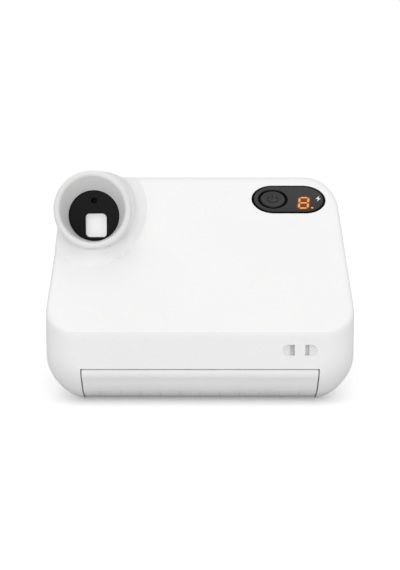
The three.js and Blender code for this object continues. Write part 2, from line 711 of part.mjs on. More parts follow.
function filmChamber() {
  const { half, wall, rear, front, top, window } = CHAMBER;
  const inner = half - wall;
  const trough = box([-half, half], [rear, front], [2.9, top]).intersect(body(WALL + 0.7));
  const ears = SCREW_SPOTS.map(({ side, y }) => {
    const x = [side * (half - 0.5), side * (SCREW_X + 1.8)].sort((a, b) => a - b);
    const ear = box(x, spread(y, 5), between(EAR_Z, 2));
    return cut(ear, rodZ(side * SCREW_X, y, 1.2, [EAR_Z - 1, EAR_Z + 3], 12));
  });
  const axle = rodX(IDLER.y, IDLER.z, ROLLER.shaft, [half - 0.5, DRIVE_GEARS[1] + 0.3], 14);
  return cut(
    union(trough, ...ears, axle),
    box([-inner, inner], [rear + wall, front - wall], [0, top - wall]),
    box([-window, window], [rear + 12, front - 16], [top - wall - 1, top + 1]),
    box([-EXIT.half, EXIT.half], [front - wall - 1, front + 1], [FILM_Z - 1.2, FILM_Z + 1]),
    box([inner - 1, half + 1], between(LATCH.y - 1, LATCH.length), [0, CATCH_Z + 3]),
    box([-inner, inner], [HINGE.y - 3, front + 1], [0, HINGE.z + HINGE.radius + 0.6]),
  ).add(hingeLugs());
}

// ---- Roller drive ----

const UPPER_Z = FILM_Z + ROLLER_PITCH;
const LOWER_Z = FILM_Z - ROLLER_PITCH;

// The idler's centre, a pitch distance from the motor pinion and from the upper roller's gear.
const IDLER = (() => {
  const near = (MODULE * (TEETH.pinion + TEETH.idler)) / 2;
  const far = (MODULE * (TEETH.roller + TEETH.idler)) / 2;
  const span = new THREE.Vector2(ROLLER.y - MOTOR.y, UPPER_Z - MOTOR.z);
  const length = span.length();
  const along = (near ** 2 - far ** 2 + length ** 2) / (2 * length);
  const aside = Math.sqrt(near ** 2 - along ** 2);
  const unit = span.normalize();
  return {
    y: MOTOR.y + unit.x * along + unit.y * aside,
    z: MOTOR.z + unit.y * along - unit.x * aside,
  };
})();

// An involute spur gear's outline about (y, z), with a tooth centred on the angle given.
function gearOutline(teeth, y, z, toothAngle) {
  const pressure = THREE.MathUtils.degToRad(25);
  const pitch = (MODULE * teeth) / 2;
  const base = pitch * Math.cos(pressure);
  const tip = pitch + 0.8 * MODULE;
  const root = pitch - 1.1 * MODULE;
  const involute = (angle) => Math.tan(angle) - angle;
  const thin = 0.12 / (2 * pitch);
  const halfAt = (radius) => {
    const angle = Math.acos(Math.min(base / radius, 1));
    return Math.PI / (2 * teeth) - thin + involute(pressure) - involute(angle);
  };
  const low = Math.max(root + 0.02, base);
  const flank = [root, low, (low + tip) / 2, tip].map((radius) =>
    [radius, halfAt(Math.max(radius, low))]);
  const outline = [];
  for (let i = 0; i < teeth; i += 1) {
    const middle = toothAngle + (2 * Math.PI * i) / teeth;
    const rise = flank.map(([radius, half]) => [radius, middle - half]);
    const fall = flank.map(([radius, half]) => [radius, middle + half]).reverse();
    [...rise, ...fall].forEach(([radius, angle]) => outline.push(
      new THREE.Vector2(y + radius * Math.cos(angle), z + radius * Math.sin(angle))));
  }
  return outline;
}

// The tooth angle of a gear that meshes with one whose tooth angle is known.
function meshedAngle(from, to) {
  const direction = Math.atan2(to.z - from.z, to.y - from.y);
  const phase = (direction - from.angle) / ((2 * Math.PI) / from.teeth);
  return direction + Math.PI + ((phase - 0.5) * 2 * Math.PI) / to.teeth;
}

function gearTrain() {
  const lower = { y: ROLLER.y, z: LOWER_Z, teeth: TEETH.roller, angle: Math.PI / 2 };
  const upper = { y: ROLLER.y, z: UPPER_Z, teeth: TEETH.roller };
  upper.angle = meshedAngle(lower, upper);
  const idler = { ...IDLER, teeth: TEETH.idler };
  idler.angle = meshedAngle(upper, idler);
  const pinion = { y: MOTOR.y, z: MOTOR.z, teeth: TEETH.pinion };
  pinion.angle = meshedAngle(idler, pinion);
  return { lower, upper, idler, pinion };
}

const TRAIN = gearTrain();
const gear = ({ teeth, y, z, angle }, x) => alongX(gearOutline(teeth, y, z, angle), x);

function roller(wheel, x) {
  const drum = rodX(wheel.y, wheel.z, ROLLER_PITCH - ROLLER.gap / 2, [-ROLLER.half, ROLLER.half]);
  const shaft = rodX(wheel.y, wheel.z, ROLLER.shaft, [-ROLLER.half - 3.4, x[0] + 0.5], 14);
  return union(drum, shaft, gear(wheel, x));
}

function idlerGear() {
  const { y, z } = TRAIN.idler;
  return cut(gear(TRAIN.idler, DRIVE_GEARS), rodX(y, z, ROLLER.shaft + 0.25, [30, 40], 14));
}

function motorPinion() {
  const shaft = rodX(MOTOR.y, MOTOR.z, 0.75, [MOTOR.right + GAP, DRIVE_GEARS[1] + 0.3], 12);
  return gear(TRAIN.pinion, DRIVE_GEARS).add(shaft);
}

function motor() {
  const can = rodX(MOTOR.y, MOTOR.z, MOTOR.radius, [MOTOR.left, MOTOR.right - 0.6]);
  return can.add(rodX(MOTOR.y, MOTOR.z, 2, [MOTOR.right - 0.7, MOTOR.right], 16));
}

function rollerBracket() {
  const cheek = ROLLER.half + 1.2;
  const top = UPPER_Z + ROLLER_PITCH;
  const y = [ROLLER.y - 4.5, ROLLER.y + 3.5];
  const cheeks = [[-cheek - 1.6, -cheek], [cheek, cheek + 1.6]].map((x) =>
    box(x, y, [LOWER_Z - 4, top - 0.2]));
  const bar = box([-cheek - 1.6, cheek + 1.6], [y[0], y[0] + 1.4], [top - 0.8, top + 0.6]);
  const bores = [LOWER_Z, UPPER_Z].map((z) =>
    rodX(ROLLER.y, z, ROLLER.shaft + 0.25, [-HALF, HALF], 14));
  return cut(union(...cheeks, bar), ...bores);
}

const SHIELD = { y: ROLLER.y + 5.4, z: FILM_Z + 3.6, radius: 0.6 };

function filmShield() {
  const x = [-ROLLER.half + 0.5, ROLLER.half - 0.5];
  const flap = box(x, spread(SHIELD.y, 0.5), [FILM_Z - 0.2, SHIELD.z]);
  return flap.add(rodX(SHIELD.y, SHIELD.z, SHIELD.radius, x, 12));
}

// ---- Film door and latch ----


function filmDoor() {
  const outer = body(DOOR_RECESS);
  const inner = body(DOOR_RECESS + DOOR_WALL);
  const reach = box([-DOOR_HALF, DOOR_HALF], [-1, HINGE.y], [-1, DOOR_TOP]);
  const skin = outer.subtract(inner).intersect(reach);
  const lip = box([-DOOR_HALF, DOOR_HALF], [0.25, DOOR_RECESS + DOOR_WALL],
    [DOOR_TOP - DOOR_LIP, DOOR_TOP]);
  const knuckles = [-22, 0, 22].map((x) => rodX(HINGE.y, HINGE.z, HINGE.radius, spread(x, 10), 14));
  const tab = box([DOOR_HALF - 1.5, DOOR_HALF - 0.3], between(LATCH.y - 0.5, 2.6),
    [DOOR_WALL, CATCH_Z + 2]);
  const grooves = Array.from({ length: GROOVES }, (_, i) => {
    const x = (i - (GROOVES - 1) / 2) * GROOVE_PITCH;
    const block = box(spread(x, 1), [3, HINGE.y - 12], [-1, 3]);
    return block.subtract(body(DOOR_RECESS + 0.4));
  });
  const lugRoom = [-1, 1].map((side) => {
    const x = [side * (HINGE.lug - 0.5), side * (DOOR_HALF + 1)].sort((a, b) => a - b);
    return box(x, [HINGE.y - HINGE.radius - 0.9, HINGE.y + 3], [-1, 6]);
  });
  return cut(
    union(skin, lip, ...knuckles, tab),
    ...grooves,
    ...lugRoom,
    rodX(HINGE.y, HINGE.z, HINGE.pin + 0.25, [-HALF, HALF], 12),
  );
}

// The latch: a ribbed pad outside, a stem through the wall and a finger to the door's tab.
function latchSlider() {
  const y = between(LATCH.y, LATCH.length);
  const pad = box([INNER + 0.7, HALF - 0.1], y, spread(LATCH.z, LATCH.height));
  const ribs = [0, 1, 2, 3].map((i) =>
    box([HALF - 0.5, HALF], between(LATCH.y + 3 + i * 1.6, 0.8), spread(LATCH.z, 3)));
  const stem = box([SIDE_BAY + 0.5, INNER + 0.8], between(LATCH.y + 4, 3), spread(LATCH.z, 3));
  const arm = box(between(SIDE_BAY + 0.5, 2), between(LATCH.y + 2.6, 5), [CATCH_Z, LATCH.z + 1.5]);
  const finger = box([DOOR_HALF - 1.2, SIDE_BAY + 1], between(LATCH.y + 2.6, 2.4),
    between(CATCH_Z, 1.3));
  return union(pad, ...ribs, stem, arm, finger);
}

// ---- The assembly ----

function bodyParts() {
  const chamber = part("film_chamber", filmChamber(), BLACK);
  const door = part("film_door", filmDoor(), WHITE);
  const end = HINGE.lug + 1.8;
  const pin = rodX(HINGE.y, HINGE.z, HINGE.pin, [-end, end], 12);
  const liner = box([-26, 26], [14, FACE_Y - 10], between(DOOR_RECESS + DOOR_WALL + GAP, 0.5));
  const screws = SCREW_SPOTS.map(({ side, y }, i) => {
    const head = rodZ(side * SCREW_X, y, 1.8, between(EAR_Z - GAP - 1.4, 1.4), 14);
    const shank = rodZ(side * SCREW_X, y, 0.9, [EAR_Z - GAP - 0.1, EAR_Z + 6], 12);
    return part(`case_screw_${i + 1}`, head.add(shank), STEEL);
  });
  return [
    part("rear_cover", rearCover(), WHITE),
    part("front_cover", frontCover(), WHITE),
    chamber,
    door,
    part("door_liner", liner, BLACK),
    part("door_hinge_pin", pin, STEEL),
    part("latch_slider", latchSlider(), OFF_WHITE),
    ...screws,
  ];
}

function opticsParts() {
  const selfie = rodY(SELFIE.x, SELFIE.z, SELFIE.radius, [FACE_Y - 0.8, FACE_Y + 0.1]);
  const mirrorPlate = slab(rounded(rectangle([-12.7, 12.7], [MIRROR_S[0] + 0.3, MIRROR_S[1] - 0.3])),
    [-MIRROR_DROP - 1.1, -MIRROR_DROP - 0.1]);
  const sensors = SENSORS.map(({ name, x, z }) =>
    part(name, rodY(x, z, 1.6, [FACE_Y - 3.5, FACE_Y - 0.3], 16), GLOSS_BLACK));
  return [
    part("eyepiece_cup", eyepieceCup(), OFF_WHITE),
    part("eyepiece_plate", eyepiecePlate(), BLACK),
    part("eyepiece_lens", eyepieceLens(), GLASS),
    part("viewfinder_tube", viewfinderTube(), BLACK),
    part("viewfinder_front_lens", finderPane(), GLASS),
    part("selfie_mirror", selfie, MIRROR),
    part("mirror_box", mirrorBox(), BLACK),
    part("mirror", mirrorPlate.transform(SLANT.elements), MIRROR),
    part("lens_bezel", lensBezel(), BLACK),
    part("lens_barrel", lensBarrel(), BLACK),
    part("front_lens", glassLens(LENS.bore + 0.5, FACE_Y + 0.9, 1.2, 1), GLASS),
    part("rear_lens", glassLens(LENS.bore - 0.4, FACE_Y - 8.6, 1.2, 0.8), GLASS),
    part("shutter_plate", shutterPlate(), BLACK),
    part("shutter_blade", shutterBlade(), STEEL),
    ...sensors,
  ];
}

function electricParts() {
  const flashPane = rounded(rectangle(spread(FLASH.x, FLASH.width),
    spread(FLASH.z, FLASH.height), 1.7), 3);
  const tube = rodX(FACE_Y - 6.4, FLASH.z, 1.2, spread(FLASH.x, FLASH.width - 3.6), 14);
  const solenoid = box([13.5, 21.5], [FACE_Y - 13, FACE_Y - 6], [LENS.z - 11.5, LENS.z - 5.5]);
  const socket = box([INNER - 0.9, HALF - 0.5], spread(USB.y, USB.width), spread(USB.z, USB.height));
  const mouth = box([INNER + 0.2, HALF], spread(USB.y, USB.width - 1), spread(USB.z, 1.8));
  const low = CHAMBER.top + 1.6;
  const board = box([INNER - 2.4, INNER - 1.2], [SEAM_Y - 34, SEAM_Y - 8], between(low, 18.5));
  const cell = box([1.7 - INNER, 10.7 - INNER], [SEAM_Y - 46, SEAM_Y - 8], between(low, 15.5));
  const capacitor = rodY(HALF - 12.3, low + 13, 4.6, [SEAM_Y - 34, SEAM_Y - 8]);
  return [
    part("flash_window", alongY(flashPane, [FACE_Y - WALL + 0.2, FACE_Y + 0.1]), GLASS),
    part("flash_reflector", flashReflector(), MIRROR),
    part("flash_tube", tube, GLASS),
    part("flash_capacitor", capacitor, BLACK),
    part("shutter_solenoid", solenoid, STEEL),
    part("battery", cell, BLACK),
    part("main_pcb", board, BOARD),
    part("usb_socket", cut(socket, mouth), STEEL),
    part("shutter_button", topButton(SHUTTER_BUTTON), RED),
    part("shutter_switch", tactSwitch(SHUTTER_BUTTON), STEEL),
    part("flash_button", topButton(FLASH_BUTTON), OFF_WHITE),
    part("flash_switch", tactSwitch(FLASH_BUTTON), STEEL),
  ];
}

function driveParts() {
  return [
    part("upper_roller", roller(TRAIN.upper, [PAIR_GEARS[0], DRIVE_GEARS[1]]), STEEL),
    part("lower_roller", roller(TRAIN.lower, PAIR_GEARS), STEEL),
    part("roller_bracket", rollerBracket(), STEEL),
    part("idler_gear", idlerGear(), ACETAL),
    part("motor_pinion", motorPinion(), ACETAL),
    part("motor", motor(), STEEL),
    part("film_shield", filmShield(), RUBBER),
  ];
}

const camera = new THREE.Group();
camera.position.set(0, -DEPTH / 2, 0);
camera.add(controlGroup(), ...bodyParts(), ...opticsParts(), ...electricParts(), ...driveParts());

export default new THREE.Group().add(camera);
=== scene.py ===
"""Surfaces and finishes of a pocket instant camera, built round its packed mechanical model.

Lengths are in millimetres while a shape is worked out. y runs forward from the rear wall, z up from
the surface that the camera stands on, and x to the right seen from behind.
"""

import math
from types import SimpleNamespace

import bmesh
import bpy
import numpy as np
from bpy.props import FloatProperty, FloatVectorProperty, PointerProperty
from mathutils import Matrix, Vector


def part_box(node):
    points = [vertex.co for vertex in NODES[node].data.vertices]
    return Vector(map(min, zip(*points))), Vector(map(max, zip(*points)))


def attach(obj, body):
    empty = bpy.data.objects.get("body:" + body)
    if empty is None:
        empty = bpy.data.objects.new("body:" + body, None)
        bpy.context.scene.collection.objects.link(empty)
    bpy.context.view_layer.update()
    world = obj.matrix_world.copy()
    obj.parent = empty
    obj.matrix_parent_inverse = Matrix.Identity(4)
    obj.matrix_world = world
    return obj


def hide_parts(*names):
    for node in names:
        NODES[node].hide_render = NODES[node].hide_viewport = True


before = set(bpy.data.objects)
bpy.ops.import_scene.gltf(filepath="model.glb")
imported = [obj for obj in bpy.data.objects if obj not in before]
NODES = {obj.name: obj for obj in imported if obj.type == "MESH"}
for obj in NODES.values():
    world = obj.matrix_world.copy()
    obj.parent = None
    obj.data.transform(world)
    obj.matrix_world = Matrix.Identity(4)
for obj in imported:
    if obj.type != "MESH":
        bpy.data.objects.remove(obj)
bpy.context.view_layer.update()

bl_info = {
    "name": "Instant Camera",
    "version": (1, 0, 0),
    "blender": (4, 5, 0),
    "location": "View3D > Sidebar > Instant Camera",
    "description": "Builds the shells, controls, optics and finishes of a pocket instant camera",
    "category": "Object",
}

MM = 0.001
REAR_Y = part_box("rear_cover")[0].y
BODY = "camera_body"


# ---- Settings ----


def length(name, description, millimetres, **limits):
    """A size given in millimetres and kept in metres, so that the sidebar shows it rightly."""
    limits = {limit: value * MM for limit, value in limits.items()}
    return FloatProperty(
        name=name, description=description, default=millimetres * MM, unit="LENGTH", precision=4,
        **limits
    )


def colour(name, description, default):
    """A linear colour that the sidebar shows as a swatch."""
    return FloatVectorProperty(
        name=name, description=description, default=default, subtype="COLOR", min=0, max=1
    )


class INSTANTCAM_Sizes(bpy.types.PropertyGroup):
    """Sizes that shape the visible surfaces."""

    top: length("Body top", "Height of the flat top", 60.2)
    crease: length("Crease height", "Where the rear wall turns into the slanted face", 19.9)
    slope: FloatProperty(
        name="Slope", description="Angle of the slanted face", default=math.radians(38.8),
        subtype="ANGLE", unit="ROTATION",
    )
    face: length("Lens face", "Distance from the rear wall to the lens face", 84.0)
    wall: length("Wall", "Thickness of the covers", 2.2, min=0.5)
    edge: length("Edge round", "Round along the slanted face's edges", 1.3, min=0.3)
    base_round: length("Base round", "Round along the bottom edges", 12.0)
    top_round: length("Top round", "Round along the top side edges", 9.2)
    rear_round: length("Rear round", "Round of the upright rear corners", 8.5)
    pitch: length("Surface pitch", "Spacing of the points on the covers", 0.75, min=0.3)
    groove: length("Groove depth", "Depth of the film door's grooves", 0.14)


class INSTANTCAM_Colours(bpy.types.PropertyGroup):
    """Linear colours of the finishes."""

    shell: colour("Shell", "White moulded covers", (0.865, 0.863, 0.86))
    cup: colour("Eyecup", "Soft white eyecup", (0.78, 0.78, 0.775))
    panel: colour("Panel", "Control panel face", (0.019, 0.0193, 0.020))
    black: colour("Black", "Matt black plastic", (0.003, 0.003, 0.0033))
    digit: colour("Digit", "Lit display", (1.0, 0.43, 0.13))
    red: colour("Shutter button", "Shutter button", (0.62, 0.035, 0.022))
    steel: colour("Steel", "Rollers, brackets and screws", (0.56, 0.57, 0.58))


class INSTANTCAM_Settings(bpy.types.PropertyGroup):
    """Everything that the sidebar's panel can change."""

    sizes: PointerProperty(type=INSTANTCAM_Sizes)
    colours: PointerProperty(type=INSTANTCAM_Colours)


def sizes():
    """The settings' lengths in millimetres, and the slope in radians."""
    group = bpy.context.scene.instant_camera.sizes
    lengths = {
        name: round(getattr(group, name) / MM, 4)
        for name in INSTANTCAM_Sizes.__annotations__ if name != "slope"
    }
    return SimpleNamespace(slope=group.slope, **lengths)


def colours():
    return bpy.context.scene.instant_camera.colours


# ---- Places read from the frame ----


def span(node):
    """A node's lowest and highest corners in this file's millimetres."""
    low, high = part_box(node)
    shift = np.array([0.0, REAR_Y, 0.0])
    return (np.array(low) - shift) / MM, (np.array(high) - shift) / MM


def middle(node):
    low, high = span(node)
    return (low + high) / 2


WIDTH = float(span("rear_cover")[1][0] - span("rear_cover")[0][0])
DEPTH = float(span("front_cover")[1][1])
SEAM = float(span("rear_cover")[1][1] + span("front_cover")[0][1]) / 2
SEAM_GAP = 0.3
GAP = 0.3
RING_LOW, RING_HIGH = span("eyepiece_cup")
RING_RADIUS = float(RING_HIGH[0] - RING_LOW[0]) / 2
RING = np.array([middle("eyepiece_cup")[0], RING_LOW[1], RING_HIGH[2] - RING_RADIUS])
DISC = middle("eyepiece_plate")
DISC_RADIUS = float(span("eyepiece_plate")[1][0] - span("eyepiece_plate")[0][0]) / 2


# ---- Numpy shape tools ----


def smooth(value, start, end):
    """0 before start, 1 after end, and a smooth cubic step between them."""
    t = np.clip((value - start) / (end - start), 0.0, 1.0)
    return t * t * (3.0 - 2.0 * t)


def round_max(a, b, radius):
    """Two solids' common part with a round of that radius along the edge where they meet."""
    u = np.maximum(a + radius, 0.0)
    v = np.maximum(b + radius, 0.0)
    return np.hypot(u, v) + np.minimum(np.maximum(a, b) + radius, 0.0) - radius


def round_min(a, b, radius):
    """Two solids joined, with a hollow round of that radius along the corner where they meet."""
    return -round_max(-a, -b, radius)


def slant_distance(y, z):
    """Signed distance in front of the slanted face's plane."""
    s = sizes()
    return -y * math.sin(s.slope) + (z - s.crease) * math.cos(s.slope)


def slant_point(x, s, n):
    """Points given by x, the way s up the slant from the crease, and the height n off it."""
    slope, crease = sizes().slope, sizes().crease
    x, s, n = np.broadcast_arrays(x, s, n)
    y = s * math.cos(slope) - n * math.sin(slope)
    z = crease + s * math.sin(slope) + n * math.cos(slope)
    return np.stack([x, y, z], -1)


def on_slant(point):
    """The slant coordinates (x, s, n) of a point."""
    slope, crease = sizes().slope, sizes().crease
    y, z = point[1], point[2] - crease
    return np.array([
        point[0],
        y * math.cos(slope) + z * math.sin(slope),
        -y * math.sin(slope) + z * math.cos(slope),
    ])


CHIN_ROOT = 28.0
CHIN_RISE = 3.0


def body_field(x, y, z):
    """Signed distance of the camera's body without the barrel.

    It is the common part of half-spaces for the sides, bottom, rear, front, top and slanted face,
    each added with the round of its own edges. The lens face and the chin's top join in a hollow
    round first.
    """
    s = sizes()
    upper = round_max(np.abs(x) - WIDTH / 2, z - s.top, s.top_round)
    shape = round_max(upper, -z, s.base_round)
    rear = s.rear_round + (s.base_round - s.rear_round) * (1 - smooth(z, 4.0, 14.0))
    shape = round_max(shape, -y, rear)
    shape = round_max(shape, y - DEPTH, 6.0)
    fall = CHIN_RISE / (DEPTH - s.face)
    chin_top = (z - CHIN_ROOT + (y - s.face) * fall) / math.hypot(1.0, fall)
    front = round_min(y - s.face, chin_top, 3.0)
    shape = round_max(shape, front, 3.0 + 2.0 * smooth(z, 27.0, 33.0) + 2.0 * smooth(z, 50.0, 58.0))
    return round_max(shape, slant_distance(y, z), s.edge * (0.25 + 0.75 * smooth(y, 0.6, 5.0)))


BARREL_STRAIGHT = 28.0
BARREL_REACH = 40.0
BARREL_SINK = 0.8
CUP_SEAT = 1.8
CUP_DEPTH = 5.4
DISC_SHIFT = 1.4
SKIRT_HEIGHTS = (0.0, 0.3, 1.1, 2.3)
SKIRT_SHARES = (1.0, 0.83, 0.45, 0.0)
SKIRT_SPREAD = 4.35
SKIRT_DRIFT = (-0.95, -0.9)


def barrel_field(x, y, z):
    """Signed distance of the viewfinder barrel and the skirt that seats it on the slanted face.

    The barrel is a cylinder that narrows towards the body's top. The skirt widens it towards the
    slanted face in straight flares, drifts outwards with them, and stays in the body's outline.
    """
    s = sizes()
    taper = smooth(y, RING[1] + BARREL_STRAIGHT, RING[1] + BARREL_REACH)
    radius = RING_RADIUS + (s.top - RING[2] - RING_RADIUS) * taper
    reach = np.hypot(x - RING[0], z - RING[2])
    tube = round_max(reach - radius, RING[1] + CUP_SEAT - y, 0.3)
    share = np.interp(slant_distance(y, z), SKIRT_HEIGHTS, SKIRT_SHARES)
    across, up = x - RING[0] - SKIRT_DRIFT[0] * share, z - RING[2] - SKIRT_DRIFT[1] * share
    flare = np.hypot(across, up) - radius - SKIRT_SPREAD * share
    outline = round_max(np.abs(x) - WIDTH / 2 + 0.05, z - s.top + 0.05, s.top_round)
    skirt = round_max(flare * 0.7, outline, 1.0)
    cup_room = np.maximum(reach - RING_RADIUS - GAP, y - RING[1] - CUP_SEAT)
    skirt = np.maximum(skirt, -cup_room)
    solid = np.maximum(round_min(tube, skirt, 0.6), y - RING[1] - BARREL_REACH - 3)
    return np.maximum(solid, -body_field(x, y, z) - BARREL_SINK)


def net(field, low, high, pitch):
    """The surface where a field is zero, as points near it and quads facing out.

    Each grid cell that the surface crosses gets one point, the mean of where the surface cuts the
    cell's edges. Each cut edge gets one quad through its four cells.
    """
    axes = [np.arange(a, b + pitch, pitch) for a, b in zip(low, high)]
    x, y, z = np.meshgrid(*axes, indexing="ij", sparse=True)
    value = np.ascontiguousarray(np.broadcast_to(field(x, y, z), [len(a) for a in axes]))
    cells = tuple(n - 1 for n in value.shape)
    total = np.zeros(cells + (3,), np.float32)
    count = np.zeros(cells, np.float32)
    crossings = []
    for axis in range(3):
        first = tuple(slice(0, -1) if k == axis else slice(None) for k in range(3))
        second = tuple(slice(1, None) if k == axis else slice(None) for k in range(3))
        a, b = value[first], value[second]
        crossed = (a < 0) != (b < 0)
        place = np.argwhere(crossed)
        at = place.astype(np.float32)
        at[:, axis] += (a[crossed] / (a[crossed] - b[crossed])).astype(np.float32)
        across = [(axis + 1) % 3, (axis + 2) % 3]
        for step in ((0, 0), (1, 0), (1, 1), (0, 1)):
            cell = place.copy()
            cell[:, across[0]] -= step[0]
            cell[:, across[1]] -= step[1]
            kept = np.all((cell >= 0) & (cell < cells), axis=1)
            index = tuple(cell[kept].T)
            np.add.at(total, index, at[kept])
            np.add.at(count, index, 1.0)
        crossings.append((axis, across, place, a[crossed] < 0))
    number = np.full(cells, -1, np.int64)
    active = count > 0
    number[active] = np.arange(int(active.sum()))
    points = total[active] / count[active][:, None] * pitch + np.array(low)
    faces = []
    for _, across, place, outwards in crossings:
        corners = []
        for step in ((1, 1), (0, 1), (0, 0), (1, 0)):
            cell = place.copy()
            cell[:, across[0]] -= step[0]
            cell[:, across[1]] -= step[1]
            corners.append(number[tuple(np.clip(cell, 0, np.array(cells) - 1).T)])
        quad = np.stack(corners, -1)
        faces.append(np.where(outwards[:, None], quad, quad[:, ::-1]))
    return points.astype(float), np.concatenate(faces)


def settle(points, field, rounds=4, step=0.02):
    """Points moved along the field's gradient until they lie on its zero surface."""
    for _ in range(rounds):
        slopes = [
            (field(*(points + step * e).T) - field(*(points - step * e).T)) / (2 * step)
            for e in np.eye(3)
        ]
        gradient = np.stack(slopes, -1)
        size = np.maximum((gradient**2).sum(1), 0.25)
        points = points - (field(*points.T) / size)[:, None] * gradient
    return points


def rounded(corners, radius, step=0.12, closed=True):
    """An outline through corners, each replaced by an arc tangent to its two sides."""
    corners = np.asarray(corners, float)
    count = len(corners)
    radii = np.broadcast_to(radius, count)
    outline = []
    for i in range(count):
        here = corners[i]
        if not closed and i in (0, count - 1) or radii[i] < 1e-6:
            outline.append(here[None])
            continue
        back = corners[i - 1] - here
        on = corners[(i + 1) % count] - here
        back, on = back / np.linalg.norm(back), on / np.linalg.norm(on)
        half = math.acos(float(np.clip(back @ on, -1, 1))) / 2
        centre = here + (back + on) / np.linalg.norm(back + on) * radii[i] / math.sin(half)
        start = here + back * radii[i] / math.tan(half) - centre
        turn = math.copysign(math.pi - 2 * half, on[0] * back[1] - on[1] * back[0])
        angle = np.linspace(0, turn, max(3, int(abs(turn) * radii[i] / step) + 2))
        arc = np.stack([
            start[0] * np.cos(angle) - start[1] * np.sin(angle),
            start[0] * np.sin(angle) + start[1] * np.cos(angle),
        ], -1)
        outline.append(centre + arc)
    return np.concatenate(outline)


def stadium(centre, size, inset=0.0, count=96):
    """A slot's outline: two half circles joined by straight sides, moved inwards by inset."""
    radius = min(size) / 2 - inset
    reach = (np.array(size) - min(size)) / 2
    angle = np.linspace(0, 2 * math.pi, count, endpoint=False) + math.pi / count
    ring = radius * np.stack([np.cos(angle), np.sin(angle)], -1)
    return np.asarray(centre) + ring + np.sign(ring) * reach


def circle(centre, radius, count=96):
    angle = np.linspace(0, 2 * math.pi, count, endpoint=False)
    return np.asarray(centre) + radius * np.stack([np.cos(angle), np.sin(angle)], -1)


def inset_outline(outline, distance):
    """A counter-clockwise outline with every side moved inwards by the same distance."""
    along = np.roll(outline, -1, 0) - outline
    along = along / np.linalg.norm(along, axis=1)[:, None]
    normal = np.stack([-along[:, 1], along[:, 0]], -1)
    before = np.roll(normal, 1, 0)
    mitre = (normal + before) / (1 + (normal * before).sum(1))[:, None]
    return outline + mitre * distance


# ---- Skins: points and faces of closed surfaces ----


def grid_faces(rows, columns, wrap_rows=False):
    """Quads of a grid whose columns close on themselves, and whose rows may."""
    r = np.arange(rows if wrap_rows else rows - 1)[:, None]
    c = np.arange(columns)[None, :]
    on = (c + 1) % columns
    after = (r + 1) % rows
    here, there = r * columns, after * columns
    return np.stack([here + c, here + on, there + on, there + c], -1).reshape(-1, 4)


def loft(rings, wrap=False):
    """A skin through a stack of rings, each a row of points; open stacks get flat ends."""
    rings = np.asarray(rings, float)
    rows, columns = rings.shape[:2]
    faces = grid_faces(rows, columns, wrap).tolist()
    if not wrap:
        faces.append(list(range(columns))[::-1])
        faces.append(list(range((rows - 1) * columns, rows * columns)))
    return rings.reshape(-1, 3), faces


def upright(a, b, height):
    """Places an outline in x and z at distances y."""
    return np.stack(np.broadcast_arrays(a, height, b), -1)


def flat_up(a, b, height):
    """Places an outline in x and y at heights z."""
    return np.stack(np.broadcast_arrays(a, b, height), -1)


def sideways(a, b, height):
    """Places an outline in y and z at distances x."""
    return np.stack(np.broadcast_arrays(height, a, b), -1)


def turned(profile, centre, place=upright, count=96, wrap=False):
    """A profile of (radius, height) carried round an axis through centre."""
    profile = np.asarray(profile, float)
    profile[:, 0] = np.maximum(profile[:, 0], 0.001)
    angle = np.linspace(0, 2 * math.pi, count, endpoint=False)
    radius, height = profile[:, :1], profile[:, 1:]
    return loft(place(
        centre[0] + radius * np.cos(angle), centre[1] + radius * np.sin(angle), height
    ), wrap)


def plate(outline, levels, place):
    """A plate whose outline is inset by d at height h for each (d, h) of its levels."""
    rings = []
    for inset, height in levels:
        ring = inset_outline(outline, inset)
        rings.append(place(ring[:, 0], ring[:, 1], height))
    return loft(rings)


def block(low, high):
    """A box from its lowest to its highest corner."""
    corners = np.array([
        (low[0], low[1]), (high[0], low[1]), (high[0], high[1]), (low[0], high[1])
    ])
    return plate(corners, [(0, low[2]), (0, high[2])], flat_up)


def side_block(side, low, high):
    """A box on the right side, or its mirror image on the left when side is -1."""
    if side < 0:
        low, high = (-high[0], *low[1:]), (-low[0], *high[1:])
    return block(low, high)


def swept(path, across, radius, count=12):
    """A round bar along a path of points in the y-z plane, its ends closed flat."""
    path = np.asarray(path, float)
    along = np.gradient(path, axis=0)
    along /= np.linalg.norm(along, axis=1)[:, None]
    normal = np.stack([-along[:, 1], along[:, 0]], -1)
    angle = np.linspace(0, 2 * math.pi, count, endpoint=False)
    x = across + radius * np.cos(angle)[None, :]
    rise = radius * np.sin(angle)[None, :]
    y = path[:, :1] + normal[:, :1] * rise
    z = path[:, 1:] + normal[:, 1:] * rise
    return loft(np.stack(np.broadcast_arrays(x, y, z), -1))


def soft(bottom, top, edge, both=False):
    """Levels of a plate whose top edge, and bottom if asked, is a quarter round."""
    angle = np.linspace(0, math.pi / 2, 5)
    sign = math.copysign(1.0, top - bottom)

    def quarter(start, way, angles):
        return [(edge * (1 - math.cos(a)), start - way * edge * (1 - math.sin(a))) for a in angles]

    first = quarter(bottom, -sign, angle[::-1]) if both else [(0.0, bottom)]
    return first + quarter(top, sign, angle)


def flared(inside, surface, chamfer, outside=1.5):
    """Levels of a cutter that opens out by a chamfer where it leaves a surface."""
    sign = math.copysign(1.0, surface - inside)
    return [(0, inside), (0, surface - sign * chamfer), (-chamfer, surface),
            (-chamfer, surface + sign * outside)]


def rectangle(centre, size, radius, step=0.12):
    """A rounded rectangle's outline."""
    a, b = size[0] / 2, size[1] / 2
    corners = np.array([(-a, -b), (a, -b), (a, b), (-a, b)]) + np.asarray(centre)[None, :]
    return rounded(corners, radius, step)


def counter_clockwise(outline):
    x, y = outline.T
    area = np.sum(x * np.roll(y, -1) - np.roll(x, -1) * y)
    return outline if area > 0 else outline[::-1]


# ---- Objects ----

SHARP = math.radians(32)


